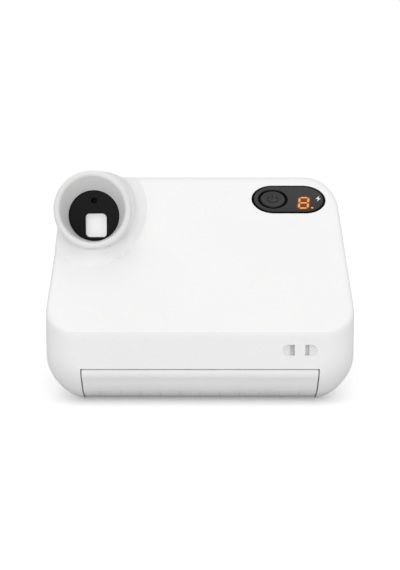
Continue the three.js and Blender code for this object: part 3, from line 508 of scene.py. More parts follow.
def shade(obj):
    obj.data.shade_smooth()
    obj.data.set_sharp_from_angle(angle=SHARP)


def make(name, *skins, turn_out=True):
    """A mesh object from skins in millimetres, smooth except along its sharp edges."""
    points, faces, count = [], [], 0
    for skin_points, skin_faces in skins:
        points.append(np.asarray(skin_points, float))
        rows = skin_faces.tolist() if isinstance(skin_faces, np.ndarray) else skin_faces
        faces += [[i + count for i in row] for row in rows] if count else rows
        count += len(skin_points)
    world = np.concatenate(points) * MM + np.array([0.0, REAR_Y, 0.0])
    mesh = bpy.data.meshes.new(name)
    mesh.from_pydata(world.tolist(), [], faces)
    mesh.validate()
    if turn_out:
        work = bmesh.new()
        work.from_mesh(mesh)
        bmesh.ops.recalc_face_normals(work, faces=work.faces)
        work.to_mesh(mesh)
        work.free()
    obj = bpy.data.objects.new(name, mesh)
    bpy.context.scene.collection.objects.link(obj)
    shade(obj)
    return obj


def combine(base, operation, *tools):
    """Joins, cuts or intersects base with each tool, a skin or an object, and removes the tool."""
    for tool in tools:
        other = tool if isinstance(tool, bpy.types.Object) else make("tool", tool)
        modifier = base.modifiers.new("combine", "BOOLEAN")
        modifier.operation = operation
        modifier.solver = "MANIFOLD"
        modifier.object = other
        graph = bpy.context.evaluated_depsgraph_get()
        mesh = bpy.data.meshes.new_from_object(base.evaluated_get(graph))
        if not len(mesh.polygons):
            raise RuntimeError(f"{base.name} vanished when it was combined")
        base.modifiers.clear()
        base.data = mesh
        bpy.data.objects.remove(other)
    shade(base)
    return base


def cut(base, *tools):
    return combine(base, "DIFFERENCE", *tools)


def join(base, *tools):
    return combine(base, "UNION", *tools)


def finish(obj, body, finish_name, slot, *nodes):
    """Gives a piece its finish and its body, and hides the nodes that it stands for. The slot is
    not used.
    """
    obj.data.materials.clear()
    obj.data.materials.append(finishes()[finish_name])
    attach(obj, body)
    if nodes:
        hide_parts(*nodes)
    return obj


# ---- Materials ----


def material(name, base, roughness, **inputs):
    """A principled material with uniform values set on its own sockets."""
    made = bpy.data.materials.new(name)
    made.use_nodes = True
    shader = made.node_tree.nodes["Principled BSDF"]
    shader.inputs["Base Color"].default_value = (*base, 1.0)
    shader.inputs["Roughness"].default_value = roughness
    for socket, value in inputs.items():
        shader.inputs[socket.replace("_", " ")].default_value = value
    return made


def node(made, kind, **settings):
    new = made.node_tree.nodes.new(kind)
    for key, value in settings.items():
        if key in new.inputs:
            new.inputs[key].default_value = value
        else:
            setattr(new, key, value)
    return new


def link(made, source, target):
    made.node_tree.links.new(source, target)


def object_noise(made, scale, detail=3.0, stretch=None):
    """Noise in Object coordinates, with its scale in features per millimetre."""
    position = node(made, "ShaderNodeTexCoord")
    source = position.outputs["Object"]
    if stretch:
        mapping = node(made, "ShaderNodeMapping")
        mapping.inputs["Scale"].default_value = stretch
        link(made, source, mapping.inputs["Vector"])
        source = mapping.outputs["Vector"]
    noise = node(made, "ShaderNodeTexNoise", Scale=scale / MM, Detail=detail)
    link(made, source, noise.inputs["Vector"])
    return noise.outputs["Fac"]


def vary_colour(made, base, scale, amount):
    """Mottles the base colour by a small share."""
    ramp = node(made, "ShaderNodeValToRGB")
    dark = [c * (1 - amount) for c in base]
    light = [min(c * (1 + amount), 1.0) for c in base]
    ramp.color_ramp.elements[0].position = 0.3
    ramp.color_ramp.elements[0].color = (*dark, 1.0)
    ramp.color_ramp.elements[1].position = 0.7
    ramp.color_ramp.elements[1].color = (*light, 1.0)
    link(made, object_noise(made, scale), ramp.inputs["Fac"])
    shader = made.node_tree.nodes["Principled BSDF"]
    link(made, ramp.outputs["Color"], shader.inputs["Base Color"])


def vary_roughness(made, low, high, scale, stretch=None):
    spread = node(made, "ShaderNodeMapRange")
    spread.inputs["To Min"].default_value = low
    spread.inputs["To Max"].default_value = high
    link(made, object_noise(made, scale, stretch=stretch), spread.inputs["Value"])
    shader = made.node_tree.nodes["Principled BSDF"]
    link(made, spread.outputs["Result"], shader.inputs["Roughness"])


def add_bump(made, scale, height, detail=3.0, stretch=None, strength=1.0):
    """Fine relief: height is its depth in millimetres."""
    bump = node(made, "ShaderNodeBump", Strength=strength, Distance=height * MM)
    link(made, object_noise(made, scale, detail, stretch), bump.inputs["Height"])
    shader = made.node_tree.nodes["Principled BSDF"]
    link(made, bump.outputs["Normal"], shader.inputs["Normal"])


def moulded(name, base, roughness, grain=5.0, depth=0.006, **inputs):
    """Moulded plastic: a fine spark-eroded grain, faint mottling and uneven gloss."""
    made = material(name, base, roughness, **inputs)
    vary_colour(made, base, 0.04, 0.012)
    vary_roughness(made, roughness - 0.05, roughness + 0.05, 0.25)
    add_bump(made, grain, depth)
    return made


def metal(name, base, roughness, stretch=(1, 1, 1)):
    """Worked metal: fine drawn or turned lines and uneven polish."""
    made = material(name, base, roughness, Metallic=1.0)
    vary_colour(made, base, 0.15, 0.06)
    vary_roughness(made, roughness * 0.7, roughness * 1.4, 1.2, stretch)
    add_bump(made, 2.5, 0.004, stretch=stretch)
    return made


def glass(name, tint, roughness=0.02, transmission=1.0, ior=1.5):
    """Clear moulded glass with a faint surface wave and a trace of handling haze."""
    made = material(name, tint, roughness, IOR=ior, Transmission_Weight=transmission)
    vary_roughness(made, roughness * 0.5, roughness * 1.8, 0.3)
    add_bump(made, 0.1, 0.002)
    return made


def glowing(name, base, strength):
    """A lit light guide: its glow varies a little at random from place to place."""
    made = material(name, tuple(0.15 * part for part in base), 0.5, Specular_IOR_Level=0.15)
    shader = made.node_tree.nodes["Principled BSDF"]
    shader.inputs["Emission Color"].default_value = (*base, 1.0)
    spread = node(made, "ShaderNodeMapRange")
    spread.inputs["To Min"].default_value = strength * 0.85
    spread.inputs["To Max"].default_value = strength * 1.15
    link(made, object_noise(made, 1.5), spread.inputs["Value"])
    link(made, spread.outputs["Result"], shader.inputs["Emission Strength"])
    add_bump(made, 3.0, 0.004)
    return made


MATERIALS = {}


def finishes():
    """The finishes by name, made once."""
    if MATERIALS:
        return MATERIALS
    c = colours()
    shell = tuple(c.shell)
    MATERIALS.update(
        shell=moulded("shell white", shell, 0.42, 6.0, 0.004),
        cup=moulded("eyecup satin white", tuple(c.cup), 0.5, 7.0, 0.005),
        panel=moulded(
            "panel smoked gloss", tuple(c.panel), 0.28, 1.0, 0.001, Specular_IOR_Level=0.2
        ),
        black=moulded("black fine matt", tuple(c.black), 0.5, 6.0, 0.008, Specular_IOR_Level=0.14),
        seal=moulded(
            "seal black", (0.0012, 0.0012, 0.0013), 0.6, 5.0, 0.004, Specular_IOR_Level=0.03
        ),
        inner=moulded("inner black matt", (0.02, 0.02, 0.021), 0.65, 4.0, 0.012),
        symbol=moulded("printed white", (0.75, 0.75, 0.74), 0.4, 4.0, 0.002),
        raised=moulded(
            "raised dark symbol", (0.006, 0.006, 0.0062), 0.4, 6.0, 0.003, Specular_IOR_Level=0.2
        ),
        digit=glowing("lit orange", tuple(c.digit), 0.8),
        halo=glowing("diffused orange", (0.30, 0.07, 0.012), 0.45),
        red=moulded("shutter button red", tuple(c.red), 0.38, 6.0, 0.004),
        steel=metal("drawn steel", tuple(c.steel), 0.32, (0.15, 1, 1)),
        turned=metal("turned steel", tuple(c.steel), 0.25, (1, 0.2, 0.2)),
        mirror=metal("silvered face", (0.9, 0.91, 0.92), 0.05),
        board=moulded("board green", (0.012, 0.11, 0.05), 0.35, 2.0, 0.01),
        acetal=moulded("acetal cream", (0.72, 0.69, 0.6), 0.45, 3.0, 0.006),
        foil=moulded("shield film", (0.05, 0.05, 0.052), 0.5, 2.0, 0.01),
        lens=glass("coated lens glass", (0.72, 0.78, 0.82)),
        pane=glass("clear window", (0.95, 0.96, 0.96), ior=1.25),
        # view: the eyepiece lens's finish, whose even glow is painted light standing in for the
        # view through the finder
        view=painted_glow_view_glass(),
    )
    return MATERIALS


def painted_glow_view_glass():
    """The eyepiece lens: clear glass with a soft, even painted glow that stands in for the bright
    view ahead seen through the finder.
    """
    made = glass("eyepiece painted glow", (1.0, 1.0, 1.0), 0.05, 0.4, 1.2)
    shader = made.node_tree.nodes["Principled BSDF"]
    shader.inputs["Emission Color"].default_value = (1.0, 1.0, 1.0, 1.0)
    # Painted glow: an even emission standing in for the light that comes through the finder.
    shader.inputs["Emission Strength"].default_value = 0.18
    return made


# ---- Covers ----


PANEL_LENGTH = float(span("control_panel")[1][0] - span("control_panel")[0][0])
PANEL_WIDTH = 12.8
PANEL_THICKNESS = 1.3
GASKET = 0.6
BUTTON_RING = 0.72
DOOR_LOW, DOOR_HIGH = span("film_door")
DOOR_HALF = float(DOOR_HIGH[0])
DOOR_TOP = float(DOOR_HIGH[2])
DOOR_RECESS = float(DOOR_LOW[2])
DOOR_WALL = 1.8
HINGE = middle("door_hinge_pin")
HINGE_RADIUS = 1.9
STRAP = (26.1, 15.0)
STRAP_SIZE = (8.8, 2.85)
STRAP_BAR = 2.74
STRAP_DEPTH = 4.2
STRAP_SCOOP = 1.6
STRAP_EYE = (1.15, 0.85, 2.3)  # width beside the bar, and where it starts and ends in depth
RUNNER = (3.0, 2.6)
POST_ROWS = (22.0, 62.0)
POST_X = (32.9, WIDTH / 2 - 1.9)
POST_HEIGHTS = (10.8, 16.5)
SCREW_X = 35.1
LATCH_PAD = (12.0, 4.6)
LATCH_TRAVEL = 3.0
SLEEVE_RADIUS = 9.3
SLOT_HALF = 28.6
SLOT_SIZE = (2 * SLOT_HALF, 2.4)


def whole_shell():
    """The body as two nested skins: the outside, and the inside a wall's width in."""
    s = sizes()
    low = (-WIDTH / 2 - 1.5, -1.5, -1.5)
    high = (WIDTH / 2 + 1.5, DEPTH + 1.5, s.top + 1.5)
    points, faces = net(body_field, low, high, s.pitch)
    outer = make("outer_skin", (settle(points, body_field), faces), turn_out=False)

    def inner_field(x, y, z):
        return body_field(x, y, z) + s.wall

    points, faces = net(inner_field, low, high, 2 * s.pitch)
    inner = make("inner_skin", (settle(points, inner_field), faces), turn_out=False)
    return cut(outer, inner)


def split_covers(shell):
    """The shell parted at the seam into the rear and the front cover."""
    front = shell.copy()
    front.data = shell.data.copy()
    bpy.context.scene.collection.objects.link(front)
    shell.name, front.name = "rear_shell", "front_shell"
    half = WIDTH / 2 + 2
    combine(shell, "INTERSECT", block((-half, -3, -3), (half, SEAM - SEAM_GAP / 2, 70)))
    combine(front, "INTERSECT", block((-half, SEAM + SEAM_GAP / 2, -3), (half, DEPTH + 3, 70)))
    return shell, front


def door_gap():
    front = HINGE[1] + HINGE_RADIUS + GAP
    gap = 0.8 * GAP
    return block((-DOOR_HALF - gap, -3, -3), (DOOR_HALF + gap, front, DOOR_TOP + gap))


def strap_notch():
    """A slot with a scooped floor and, beside the bar that a strap loops round, two deeper eyes."""
    x, z = STRAP
    notch = make("strap_notch", plate(
        stadium(STRAP, STRAP_SIZE), flared(STRAP_DEPTH, 0.0, 0.2), upright
    ))
    chord = STRAP_SIZE[0] / 2 + 0.3
    radius = (chord**2 + STRAP_SCOOP**2) / (2 * STRAP_SCOOP)
    profile = [(0, z - 4), (radius, z - 4), (radius, z + 4), (0, z + 4)]
    combine(notch, "INTERSECT", turned(profile, (x, STRAP_SCOOP - radius), flat_up))
    half, rise = STRAP_BAR / 2, STRAP_SIZE[1] / 2 - 0.15
    width, start, end = half + STRAP_EYE[0], STRAP_EYE[1], STRAP_EYE[2]
    join(notch, block((x - width, start, z - rise), (x + width, end, z + rise)))
    return cut(notch, block((x - half, -3, z - 3), (x + half, 0.9, z + 3)))


def top_hole(button):
    """The round hole of a top button, opening out at the body's top."""
    low, high = span(button)
    outline = circle((low + high)[:2] / 2, (high[0] - low[0]) / 2 + 0.35)
    return plate(outline, flared(sizes().top - 6, sizes().top, 0.2), flat_up)


def side_hole(node, radius, height=None, travel=0.0):
    """The hole in the right side round a node, or round its upper part, longer by its travel."""
    low, high = span(node)
    foot = low[2] if height is None else high[2] - height
    centre = ((low[1] + high[1] + travel) / 2, (foot + high[2]) / 2)
    size = (high[1] - low[1] + 2 * GAP + travel, high[2] - foot + 2 * GAP)
    outline = rectangle(centre, size, min(radius, size[1] / 2 - 0.01))
    return plate(outline, flared(WIDTH / 2 - 3.5, WIDTH / 2, 0.2), sideways)


def rear_cover(shell):
    """The rear cover: joined by its barrel, runners, screw posts and strap block, then cut for all
    that passes through it."""
    s = sizes()
    join(shell, viewfinder_barrel())
    start, end = s.base_round + 2, SEAM - SEAM_GAP / 2
    for side in (-1, 1):
        place = (side * (DOOR_HALF + GAP + RUNNER[0] / 2), (start + end) / 2)
        runner = rectangle(place, (RUNNER[0], end - start), 0.8)
        join(shell, plate(runner, soft(RUNNER[1], 0.0, 0.4), flat_up))
        for y in POST_ROWS:
            join(shell, side_block(
                side, (POST_X[0], y - 2.2, POST_HEIGHTS[0]), (POST_X[1], y + 2.2, POST_HEIGHTS[1])
            ))
            screw_hole = [(0, 9), (1.2, 9), (1.2, 15), (0, 15)]
            cut(shell, turned(screw_hole, (side * SCREW_X, y), flat_up, 32))
    x, z = STRAP
    half = STRAP_SIZE[0] / 2 + 1.5
    join(shell, block((x - half, 1.0, z - 3.1), (x + half, STRAP_DEPTH + 1.4, z + 3.1)))
    pocket = stadium(panel_centre(), (PANEL_LENGTH + 0.2, PANEL_WIDTH + 0.2), count=128)
    through = stadium(panel_centre(), (PANEL_LENGTH - 2.6, PANEL_WIDTH - 2.6))
    cut(
        shell,
        door_gap(),
        strap_notch(),
        plate(pocket, flared(-PANEL_THICKNESS - 0.2, 0.0, 0.06), slant_point),
        plate(through, [(0, -6), (0, -1.4)], slant_point),
        *sight_bores(),
        top_hole("shutter_button"),
        top_hole("flash_button"),
        side_hole("latch_slider", 1.2, LATCH_PAD[1], LATCH_TRAVEL),
        side_hole("usb_socket", 9),
    )
    shell.name = "rear_cover_skin"
    return finish(shell, BODY, "shell", "white_shell", "rear_cover")


def sight_bores():
    """The bore for the eyecup's sleeve, and the narrower one on towards the finder's front."""
    sleeve = circle((DISC[0], RING[2] - 0.7), SLEEVE_RADIUS + GAP)
    tunnel = circle((DISC[0], DISC[2] + 0.7), SLEEVE_RADIUS - 1.1)
    return (
        plate(sleeve, [(0, RING[1]), (0, RING[1] + 18.3)], upright),
        plate(tunnel, [(0, RING[1] + 18), (0, RING[1] + 34)], upright),
    )


def viewfinder_barrel():
    """The eyepiece's barrel, rooted in the slanted face's wall."""
    low = (RING[0] - 16, RING[1] - 2, RING[2] - 18)
    high = (RING[0] + 16, RING[1] + BARREL_REACH + 6, RING_HIGH[2] + 1.5)
    points, faces = net(barrel_field, low, high, 0.8 * sizes().pitch)
    return make("viewfinder_barrel", (settle(points, barrel_field), faces), turn_out=False)


def front_cover(shell):
    """The front cover, cut for the lens, finder, flash, sensors, mirror and print slot."""
    face = sizes().face
    back = face - sizes().wall - 1

    def window(node, radius):
        low, high = span(node)
        centre, size = (low + high)[[0, 2]] / 2, (high - low)[[0, 2]] + 2 * GAP
        return plate(rectangle(centre, size, radius), flared(back, face, 0.25), upright)

    def bore(node, clearance, start=back):
        low, high = span(node)
        radius = (high[0] - low[0]) / 2 + clearance
        return plate(circle((low + high)[[0, 2]] / 2, radius), flared(start, face, 0.2), upright)

    slot = rectangle((0.0, 16.4), SLOT_SIZE, 0.9)
    cut(
        shell,
        door_gap(),
        plate(circle(middle("lens_bezel")[[0, 2]], 10.5), [(0, back), (0, face + 1)], upright),
        window("viewfinder_front_lens", 1.5),
        window("flash_window", 2.0),
        bore("light_sensor", GAP),
        bore("distance_sensor", GAP),
        bore("selfie_mirror", GAP, face - 1.1),
        plate(slot, flared(DEPTH - 4.2, DEPTH, 0.35), upright),
    )
    shell.name = "front_cover_skin"
    return finish(shell, BODY, "shell", "white_shell", "front_cover")


# ---- Film door ----

LIP_FOOT = 3.6
LIP_HEIGHT = 1.65
GROOVES = (11, 5.3)  # how many, and how far apart
GROOVE_RADIUS = 0.5
KNUCKLES = (-22.0, 0.0, 22.0)
KNUCKLE_HALF = 5.0
PIN_BORE = 0.95


def door_path(offset):
    """The door's outer line in (y, z), moved in by offset: along the bottom and round the base."""
    s = sizes()
    radius = s.base_round - offset
    end = math.acos((s.base_round - (DOOR_TOP - LIP_FOOT)) / radius)
    angle = np.linspace(0.0, end, 40)
    arc = s.base_round - radius * np.stack([np.sin(angle), np.cos(angle)], -1)
    return np.concatenate([[(HINGE[1], offset)], arc])


def film_door():
    """The door: its section carried across the camera, with soft ends, a lip along its top edge,
    grooves under it, and knuckles on the hinge pin."""
    outer = door_path(DOOR_RECESS)
    inner = door_path(DOOR_RECESS + DOOR_WALL)[::-1]
    lip_y = float(DOOR_LOW[1])
    lip = rounded([
        outer[-1], (lip_y, DOOR_TOP - LIP_HEIGHT), (lip_y, DOOR_TOP), (inner[0][0] - 0.6, DOOR_TOP),
        inner[0],
    ], [0, 2.5, 0.4, 0.3, 0], closed=False)
    section = counter_clockwise(np.concatenate([outer, lip[1:-1], inner]))
    ends = soft(-DOOR_HALF, DOOR_HALF, 0.3, both=True)
    door = make("film_door_skin", plate(section, ends, sideways))
    bed = door_path(DOOR_RECESS + sizes().groove - GROOVE_RADIUS)
    run = bed[bed[:, 1] < 3.2]
    run = np.concatenate([[(HINGE[1] - 12, run[0][1])], run[1:]])
    count, pitch = GROOVES
    places = (np.arange(count) - (count - 1) / 2) * pitch
    cut(door, make("grooves", *[swept(run, x, GROOVE_RADIUS) for x in places]))
    half, outside = KNUCKLE_HALF, HINGE_RADIUS
    knuckle = np.array([
        (0, -half), (outside - 0.2, -half), (outside, 0.2 - half), (outside, half - 0.2),
        (outside - 0.2, half), (0, half),
    ])
    for x in KNUCKLES:
        join(door, turned(knuckle + (0, x), HINGE[1:], sideways, 40))
    latch = span("latch_slider")[0][1]
    tab = ((DOOR_HALF - 1.5, latch - 0.5, 1.8), (DOOR_HALF - 0.3, latch + 2.1, 7.4))
    join(door, block(*tab))
    for side in (-1, 1):
        corner = (27.7, HINGE[1] - HINGE_RADIUS - 0.9, -1)
        cut(door, side_block(side, corner, (DOOR_HALF + 1, HINGE[1] + 3, 6)))
    pin = [(0, -50), (PIN_BORE, -50), (PIN_BORE, 50), (0, 50)]
    cut(door, turned(pin, HINGE[1:], sideways, 32))
    return finish(door, "film_door", "shell", "white_shell", "film_door")


# ---- Eyepiece ----


def eyepiece_cup():
    """The eyecup: rings whose centres drift from the rim's to the window disc's, closed into a
    sleeve behind. Each row holds a ring's centre, its radius and its distance behind the rim."""
    rim, disc = RING[[0, 2]], DISC[[0, 2]]
    sleeve = np.array([DISC[0], RING[2] - 0.7])
    crest, hole = 0.95, DISC_RADIUS + GAP
    rows = [(rim, RING_RADIUS - 0.1, 1.5), (rim, RING_RADIUS, 1.4)]
    over = np.linspace(0, math.pi / 2, 8)
    inside = np.linspace(math.pi / 2, math.pi * 0.86, 8)[1:]
    for a in (*over, *inside):
        rows.append((rim, RING_RADIUS - crest * (1 - math.cos(a)), crest * (1 - math.sin(a))))
    lip_radius, lip_y = rows[-1][1:]
    for t in np.linspace(0, 1, 12)[1:]:
        radius = lip_radius + (DISC_RADIUS - lip_radius) * t
        rows.append((rim + (disc - rim) * t, radius, lip_y + (CUP_DEPTH - lip_y) * t))
    rows += [
        (disc, hole, CUP_DEPTH + 0.05), (disc, hole, 11.5), (sleeve, 9.0, 11.5),
        (sleeve, SLEEVE_RADIUS, 11.2), (sleeve, SLEEVE_RADIUS, 1.6), (rim, RING_RADIUS - 0.4, 1.55),
    ]
    centres, radii, behind = (np.array(column) for column in zip(*rows))
    angle = np.linspace(0, 2 * math.pi, 128, endpoint=False)
    rings = upright(
        centres[:, :1] + radii[:, None] * np.cos(angle),
        centres[:, 1:] + radii[:, None] * np.sin(angle),
        RING[1] + behind[:, None],
    )
    cup = make("eyecup", loft(rings, wrap=True))
    return finish(cup, BODY, "cup", "soft_white", "eyepiece_cup")


def eyepiece_plate():
    """The black disc with its window and the small sensor hole, their edges softened."""
    low, high = span("eyepiece_plate")
    outline = circle(DISC[[0, 2]], DISC_RADIUS)
    front = low[1] - DISC_SHIFT
    disc = make("eyepiece_disc", plate(outline, soft(high[1], front, 0.25), upright))
    window = rectangle((DISC[0] + 0.45, DISC[2] - 2.8), (6.1, 6.75), 1.2)
    hole = circle((DISC[0], DISC[2] + 4.3), 0.7, 40)
    cut(
        disc,
        plate(window, flared(high[1] + 1, front, 0.3), upright),
        plate(hole, flared(high[1] - 0.2, front, 0.2), upright),
    )
    return finish(disc, BODY, "black", "matt_black", "eyepiece_plate")


def bulged(radius, back, front, rise, steps=14):
    """Profile of a lens: flat-sided rim with a spherical cap that rises towards front."""
    sign, edge = math.copysign(1.0, front - back), 0.15
    t = np.linspace(1, 0, steps)
    cap = np.stack([radius * t, front + sign * rise * (1 - t**2)], -1)
    return np.concatenate([[(0, back), (radius - edge, back), (radius, back + sign * edge)], cap])


def eyepiece_lens():
    low, high = span("eyepiece_lens")
    radius = (high[0] - low[0]) / 2
    lens = make("eyepiece_glass", turned(
        bulged(radius, high[1] - 0.4, low[1] + 0.6, 0.5), DISC[[0, 2]]
    ))
    # The lens's finish glows evenly: painted light standing in for the view through the finder.
    return finish(lens, BODY, "view", "clear_glass", "eyepiece_lens")


# ---- Control panel ----


def panel_face():
    """The smoked face: a stadium with a soft edge, its button hole bevelled."""
    size = (PANEL_LENGTH - 2 * GASKET, PANEL_WIDTH - 2 * GASKET)
    face = make("panel_face", plate(
        stadium(panel_centre(), size, count=128), soft(-PANEL_THICKNESS, 0.1, 0.18), slant_point
    ))
    hole = circle(button_centre(), button_radius() + BUTTON_RING)
    cut(face, plate(hole, flared(-3, 0.1, 0.12), slant_point))
    return finish(face, BODY, "panel", "gloss_black", "control_panel")


def panel_rim():
    """The black gasket round the face and round the power button."""
    outer = stadium(panel_centre(), (PANEL_LENGTH, PANEL_WIDTH), count=128)
    rim = make("panel_gasket", plate(outer, soft(-PANEL_THICKNESS, -0.02, 0.1), slant_point))
    size = (PANEL_LENGTH - 2 * GASKET, PANEL_WIDTH - 2 * GASKET)
    inner = stadium(panel_centre(), size, count=128)
    cut(rim, plate(inner, [(0, -3), (0, 2)], slant_point))
    bore, collar = button_radius() + 0.12, button_radius() + BUTTON_RING + 0.03
    foot, head = -2.6, -0.45
    section = [(bore, foot), (collar, foot), (collar, head), (bore, head)]
    ring = make("button_collar", turned(section, button_centre(), slant_point, wrap=True))
    finish(ring, BODY, "seal", "gloss_black", "control_panel")
    return finish(rim, BODY, "seal", "gloss_black", "control_panel")


def panel_centre():
    return on_slant(middle("control_panel"))[:2]


def button_centre():
    return on_slant(middle("power_button"))[:2]


def button_radius():
    low, high = span("power_button")
    return float(high[0] - low[0]) / 2


def arc_stroke(centre, radius, stroke, start, end, count=48):
    """An open ring's outline: out along the larger arc and back along the smaller one."""
    angle = np.linspace(start, end, count)
    ring = np.stack([np.cos(angle), np.sin(angle)], -1)
    outer = ring * (radius + stroke / 2)
    inner = (ring * (radius - stroke / 2))[::-1]
    return counter_clockwise(np.concatenate([outer, inner]) + np.asarray(centre))


def power_button():
    """A shallow dished cap with a raised standby sign: an open ring and a bar."""
    centre, radius = button_centre(), button_radius()
    top, stroke = 0.12, 0.4
    rows = [(0, -1.85), (radius, -1.85), (radius, top - 0.3)]
    rows += [(radius - 0.3 * (1 - math.cos(a)), top - 0.3 * (1 - math.sin(a)))
             for a in np.linspace(0, math.pi / 2, 6)]
    rows += [(radius * t, top - 0.16 * (1 - (t / 0.9) ** 2)) for t in np.linspace(0.88, 0, 8)]
    cap = make("power_cap", turned(rows, centre, slant_point))
    finish(cap, "power_button", "panel", "gloss_black", "power_button")
    gap = math.radians(38)
    up = math.pi / 2
    ring = arc_stroke(centre, 1.55, stroke, up + gap, up + 2 * math.pi - gap)
    bar = stadium((centre[0], centre[1] + 1.35), (stroke, 1.7), count=24)
    levels = [(0, -0.15), (0, 0.05), (0.06, 0.09)]
    sign = make("standby_sign", plate(ring, levels, slant_point), plate(bar, levels, slant_point))
    finish(sign, "power_button", "raised", "gloss_black", "power_button")


def digit():
    """An eight of seven pointed bars, leaning a little, with a point at its foot."""
    low, high = span("digit_light_guide")
    centre = on_slant((low + high) / 2)[:2] + (-0.2, -0.2)
    width, height, stroke, lean = 3.25, 5.4, 0.62, 0.13
    gap = 0.2
    lit_levels = [(0, 0.1), (0, 0.15), (0.05, 0.17)]
    across, upward = width - stroke, (height - stroke) / 2

    def bar(middle_point, span_length, upright_bar):
        half, t = span_length / 2 - gap, stroke / 2
        outline = np.array([(-half, 0), (-half + t, -t), (half - t, -t), (half, 0), (half - t, t),
                            (-half + t, t)])
        outline = outline[:, ::-1] if upright_bar else outline
        outline = counter_clockwise(outline) + middle_point
        outline[:, 0] += lean * outline[:, 1]
        return plate(outline + centre, lit_levels, slant_point)

    bars = [bar((0, row * upward), across, False) for row in (-1, 0, 1)]
    bars += [bar((column * across / 2, row * upward / 2), upward, True)
             for column in (-1, 1) for row in (-1, 1)]
    foot = centre + (across / 2 + 1.05, 0.12 - upward)
    dot = rectangle(foot, (stroke, stroke), 0.15)
    bars.append(plate(dot, lit_levels, slant_point))
    lit = make("lit_digit", *bars)
    finish(lit, BODY, "digit", "orange_light", "digit_light_guide")
    outline = rectangle((0.0, 0.0), (width + 0.5, height + 0.5), 0.9)
    outline[:, 0] += lean * outline[:, 1]
    dot_outline = rectangle(foot, (stroke + 0.3, stroke + 0.3), 0.4)
    levels = [(0, 0.05), (0, 0.115), (0.03, 0.125)]
    glow = make("digit_diffuser", plate(outline + centre, levels, slant_point),
                plate(dot_outline, levels, slant_point))
    finish(glow, BODY, "halo", "orange_light", "digit_light_guide")


def charge_symbol():
    """A small lightning flash beside the digit."""
    low, high = span("charge_symbol")
    centre = on_slant((low + high) / 2)[:2] + (0, 0.05)
    points = [(0.5, 1.4), (-0.8, -0.15), (-0.1, -0.2), (-0.5, -1.4), (0.8, 0.15), (0.1, 0.2)]
    outline = counter_clockwise(np.array(points) * 0.95 + centre)
    sign = make("flash_sign", plate(outline, [(0, 0.05), (0, 0.14)], slant_point))
    return finish(sign, BODY, "symbol", "white_print", "charge_symbol")


# ---- Lens ----


def lens_bezel():
    """The bezel: a round-nosed ring with stepped baffles down to the glass."""
    low, high = span("lens_bezel")
    centre = middle("lens_bezel")[[0, 2]]
    outer = (high[0] - low[0]) / 2
    face, front = sizes().face, high[1]
    seat = face + GAP
    rows = [(8, face - 4), (10.2, face - 4), (10.2, seat), (outer - 0.2, seat), (outer, seat + 0.2),
            (outer, front - 1.1)]
    rows += [(outer - 1.1 * (1 - math.cos(a)), front - 1.1 * (1 - math.sin(a)))
             for a in np.linspace(0, math.pi / 2, 8)]
    rows += [(outer - 1.8, front), (outer - 2.1, front - 0.25)]
    steps = 5
    tread, drop = (outer - 2.1 - 8.0) / steps, (front - 0.25 - face - 3.0) / steps
    for i in range(steps):
        radius, y = outer - 2.1 - i * tread, front - 0.25 - (i + 1) * drop
        rows += [(radius - 0.08, y), (radius - tread, y)]
    bezel = make("lens_ring", turned(rows, centre, wrap=True, count=128))
    finish(bezel, BODY, "black", "gloss_black", "lens_bezel")
    y = front - 0.9
    band = [(outer + 0.02, y - 2.2), (outer + 0.12, y - 2.1), (outer + 0.12, y - 1.5),
            (outer + 0.02, y - 1.4), (outer - 0.3, y - 1.4), (outer - 0.3, y - 2.2)]
    trim = make("lens_band", turned(band, centre, wrap=True, count=128))
    finish(trim, BODY, "turned", "gloss_black", "lens_bezel")


def lens_glass():
    """The front element, domed forwards, and the barrel that holds it."""
    low, high = span("front_lens")
    centre = middle("front_lens")[[0, 2]]
    radius = (high[0] - low[0]) / 2
    glass_piece = make("front_element", turned(
        bulged(radius, low[1], high[1] - 1.0, 1.0, steps=20), centre, count=128
    ))
    finish(glass_piece, BODY, "lens", "clear_glass", "front_lens")
    low, high = span("lens_barrel")
    outer = (high[0] - low[0]) / 2
    rows = [(5.2, low[1]), (outer, low[1]), (outer, high[1]), (radius + 0.3, high[1]),
            (radius + 0.1, high[1] - 0.3), (radius + 0.1, high[1] - 2), (6.2, high[1] - 2)]
    depth = high[1] - 2 - low[1]
    count = 7
    for i in range(count):
        y = high[1] - 2 - (i + 1) * depth / (count + 1)
        rows += [(6.2 - i * 0.14, y), (6.2 - (i + 1) * 0.14, y)]
    barrel = make("lens_tube", turned(rows, centre, wrap=True))
    finish(barrel, BODY, "inner", "matt_black", "lens_barrel")


# ---- Front fittings ----


def flash_window():
    """A clear pane with a row of upright round ribs behind it that spread the light."""
    low, high = span("flash_window")
    centre, size = (low + high)[[0, 2]] / 2, (high - low)[[0, 2]]
    outline = rectangle(centre, size, 1.7)
    pane = plate(outline, soft(low[1] + 0.8, high[1], 0.3, both=True), upright)
    profile = [(0.27, low[2] + 1.2), (0.27, high[2] - 1.2)]
    ribs = [
        turned(profile, (x, low[1] + 0.95), flat_up, 8)
        for x in np.arange(low[0] + 1.2, high[0] - 1.0, 0.62)
    ]
    window = make("flash_pane", pane, *ribs)
    return finish(window, BODY, "pane", "clear_glass", "flash_window")


def finder_pane():
    low, high = span("viewfinder_front_lens")
    outline = rectangle((low + high)[[0, 2]] / 2, (high - low)[[0, 2]], 1.2)
    pane = make("finder_pane", plate(outline, soft(low[1], high[1], 0.25, both=True), upright))
    return finish(pane, BODY, "pane", "clear_glass", "viewfinder_front_lens")


def selfie_mirror():
    low, high = span("selfie_mirror")
    radius = (high[0] - low[0]) / 2
    dome = make("selfie_dome", turned(
        bulged(radius, low[1], high[1] - 0.3, 0.7, steps=18), middle("selfie_mirror")[[0, 2]]
    ))
    return finish(dome, BODY, "mirror", "mirror", "selfie_mirror")


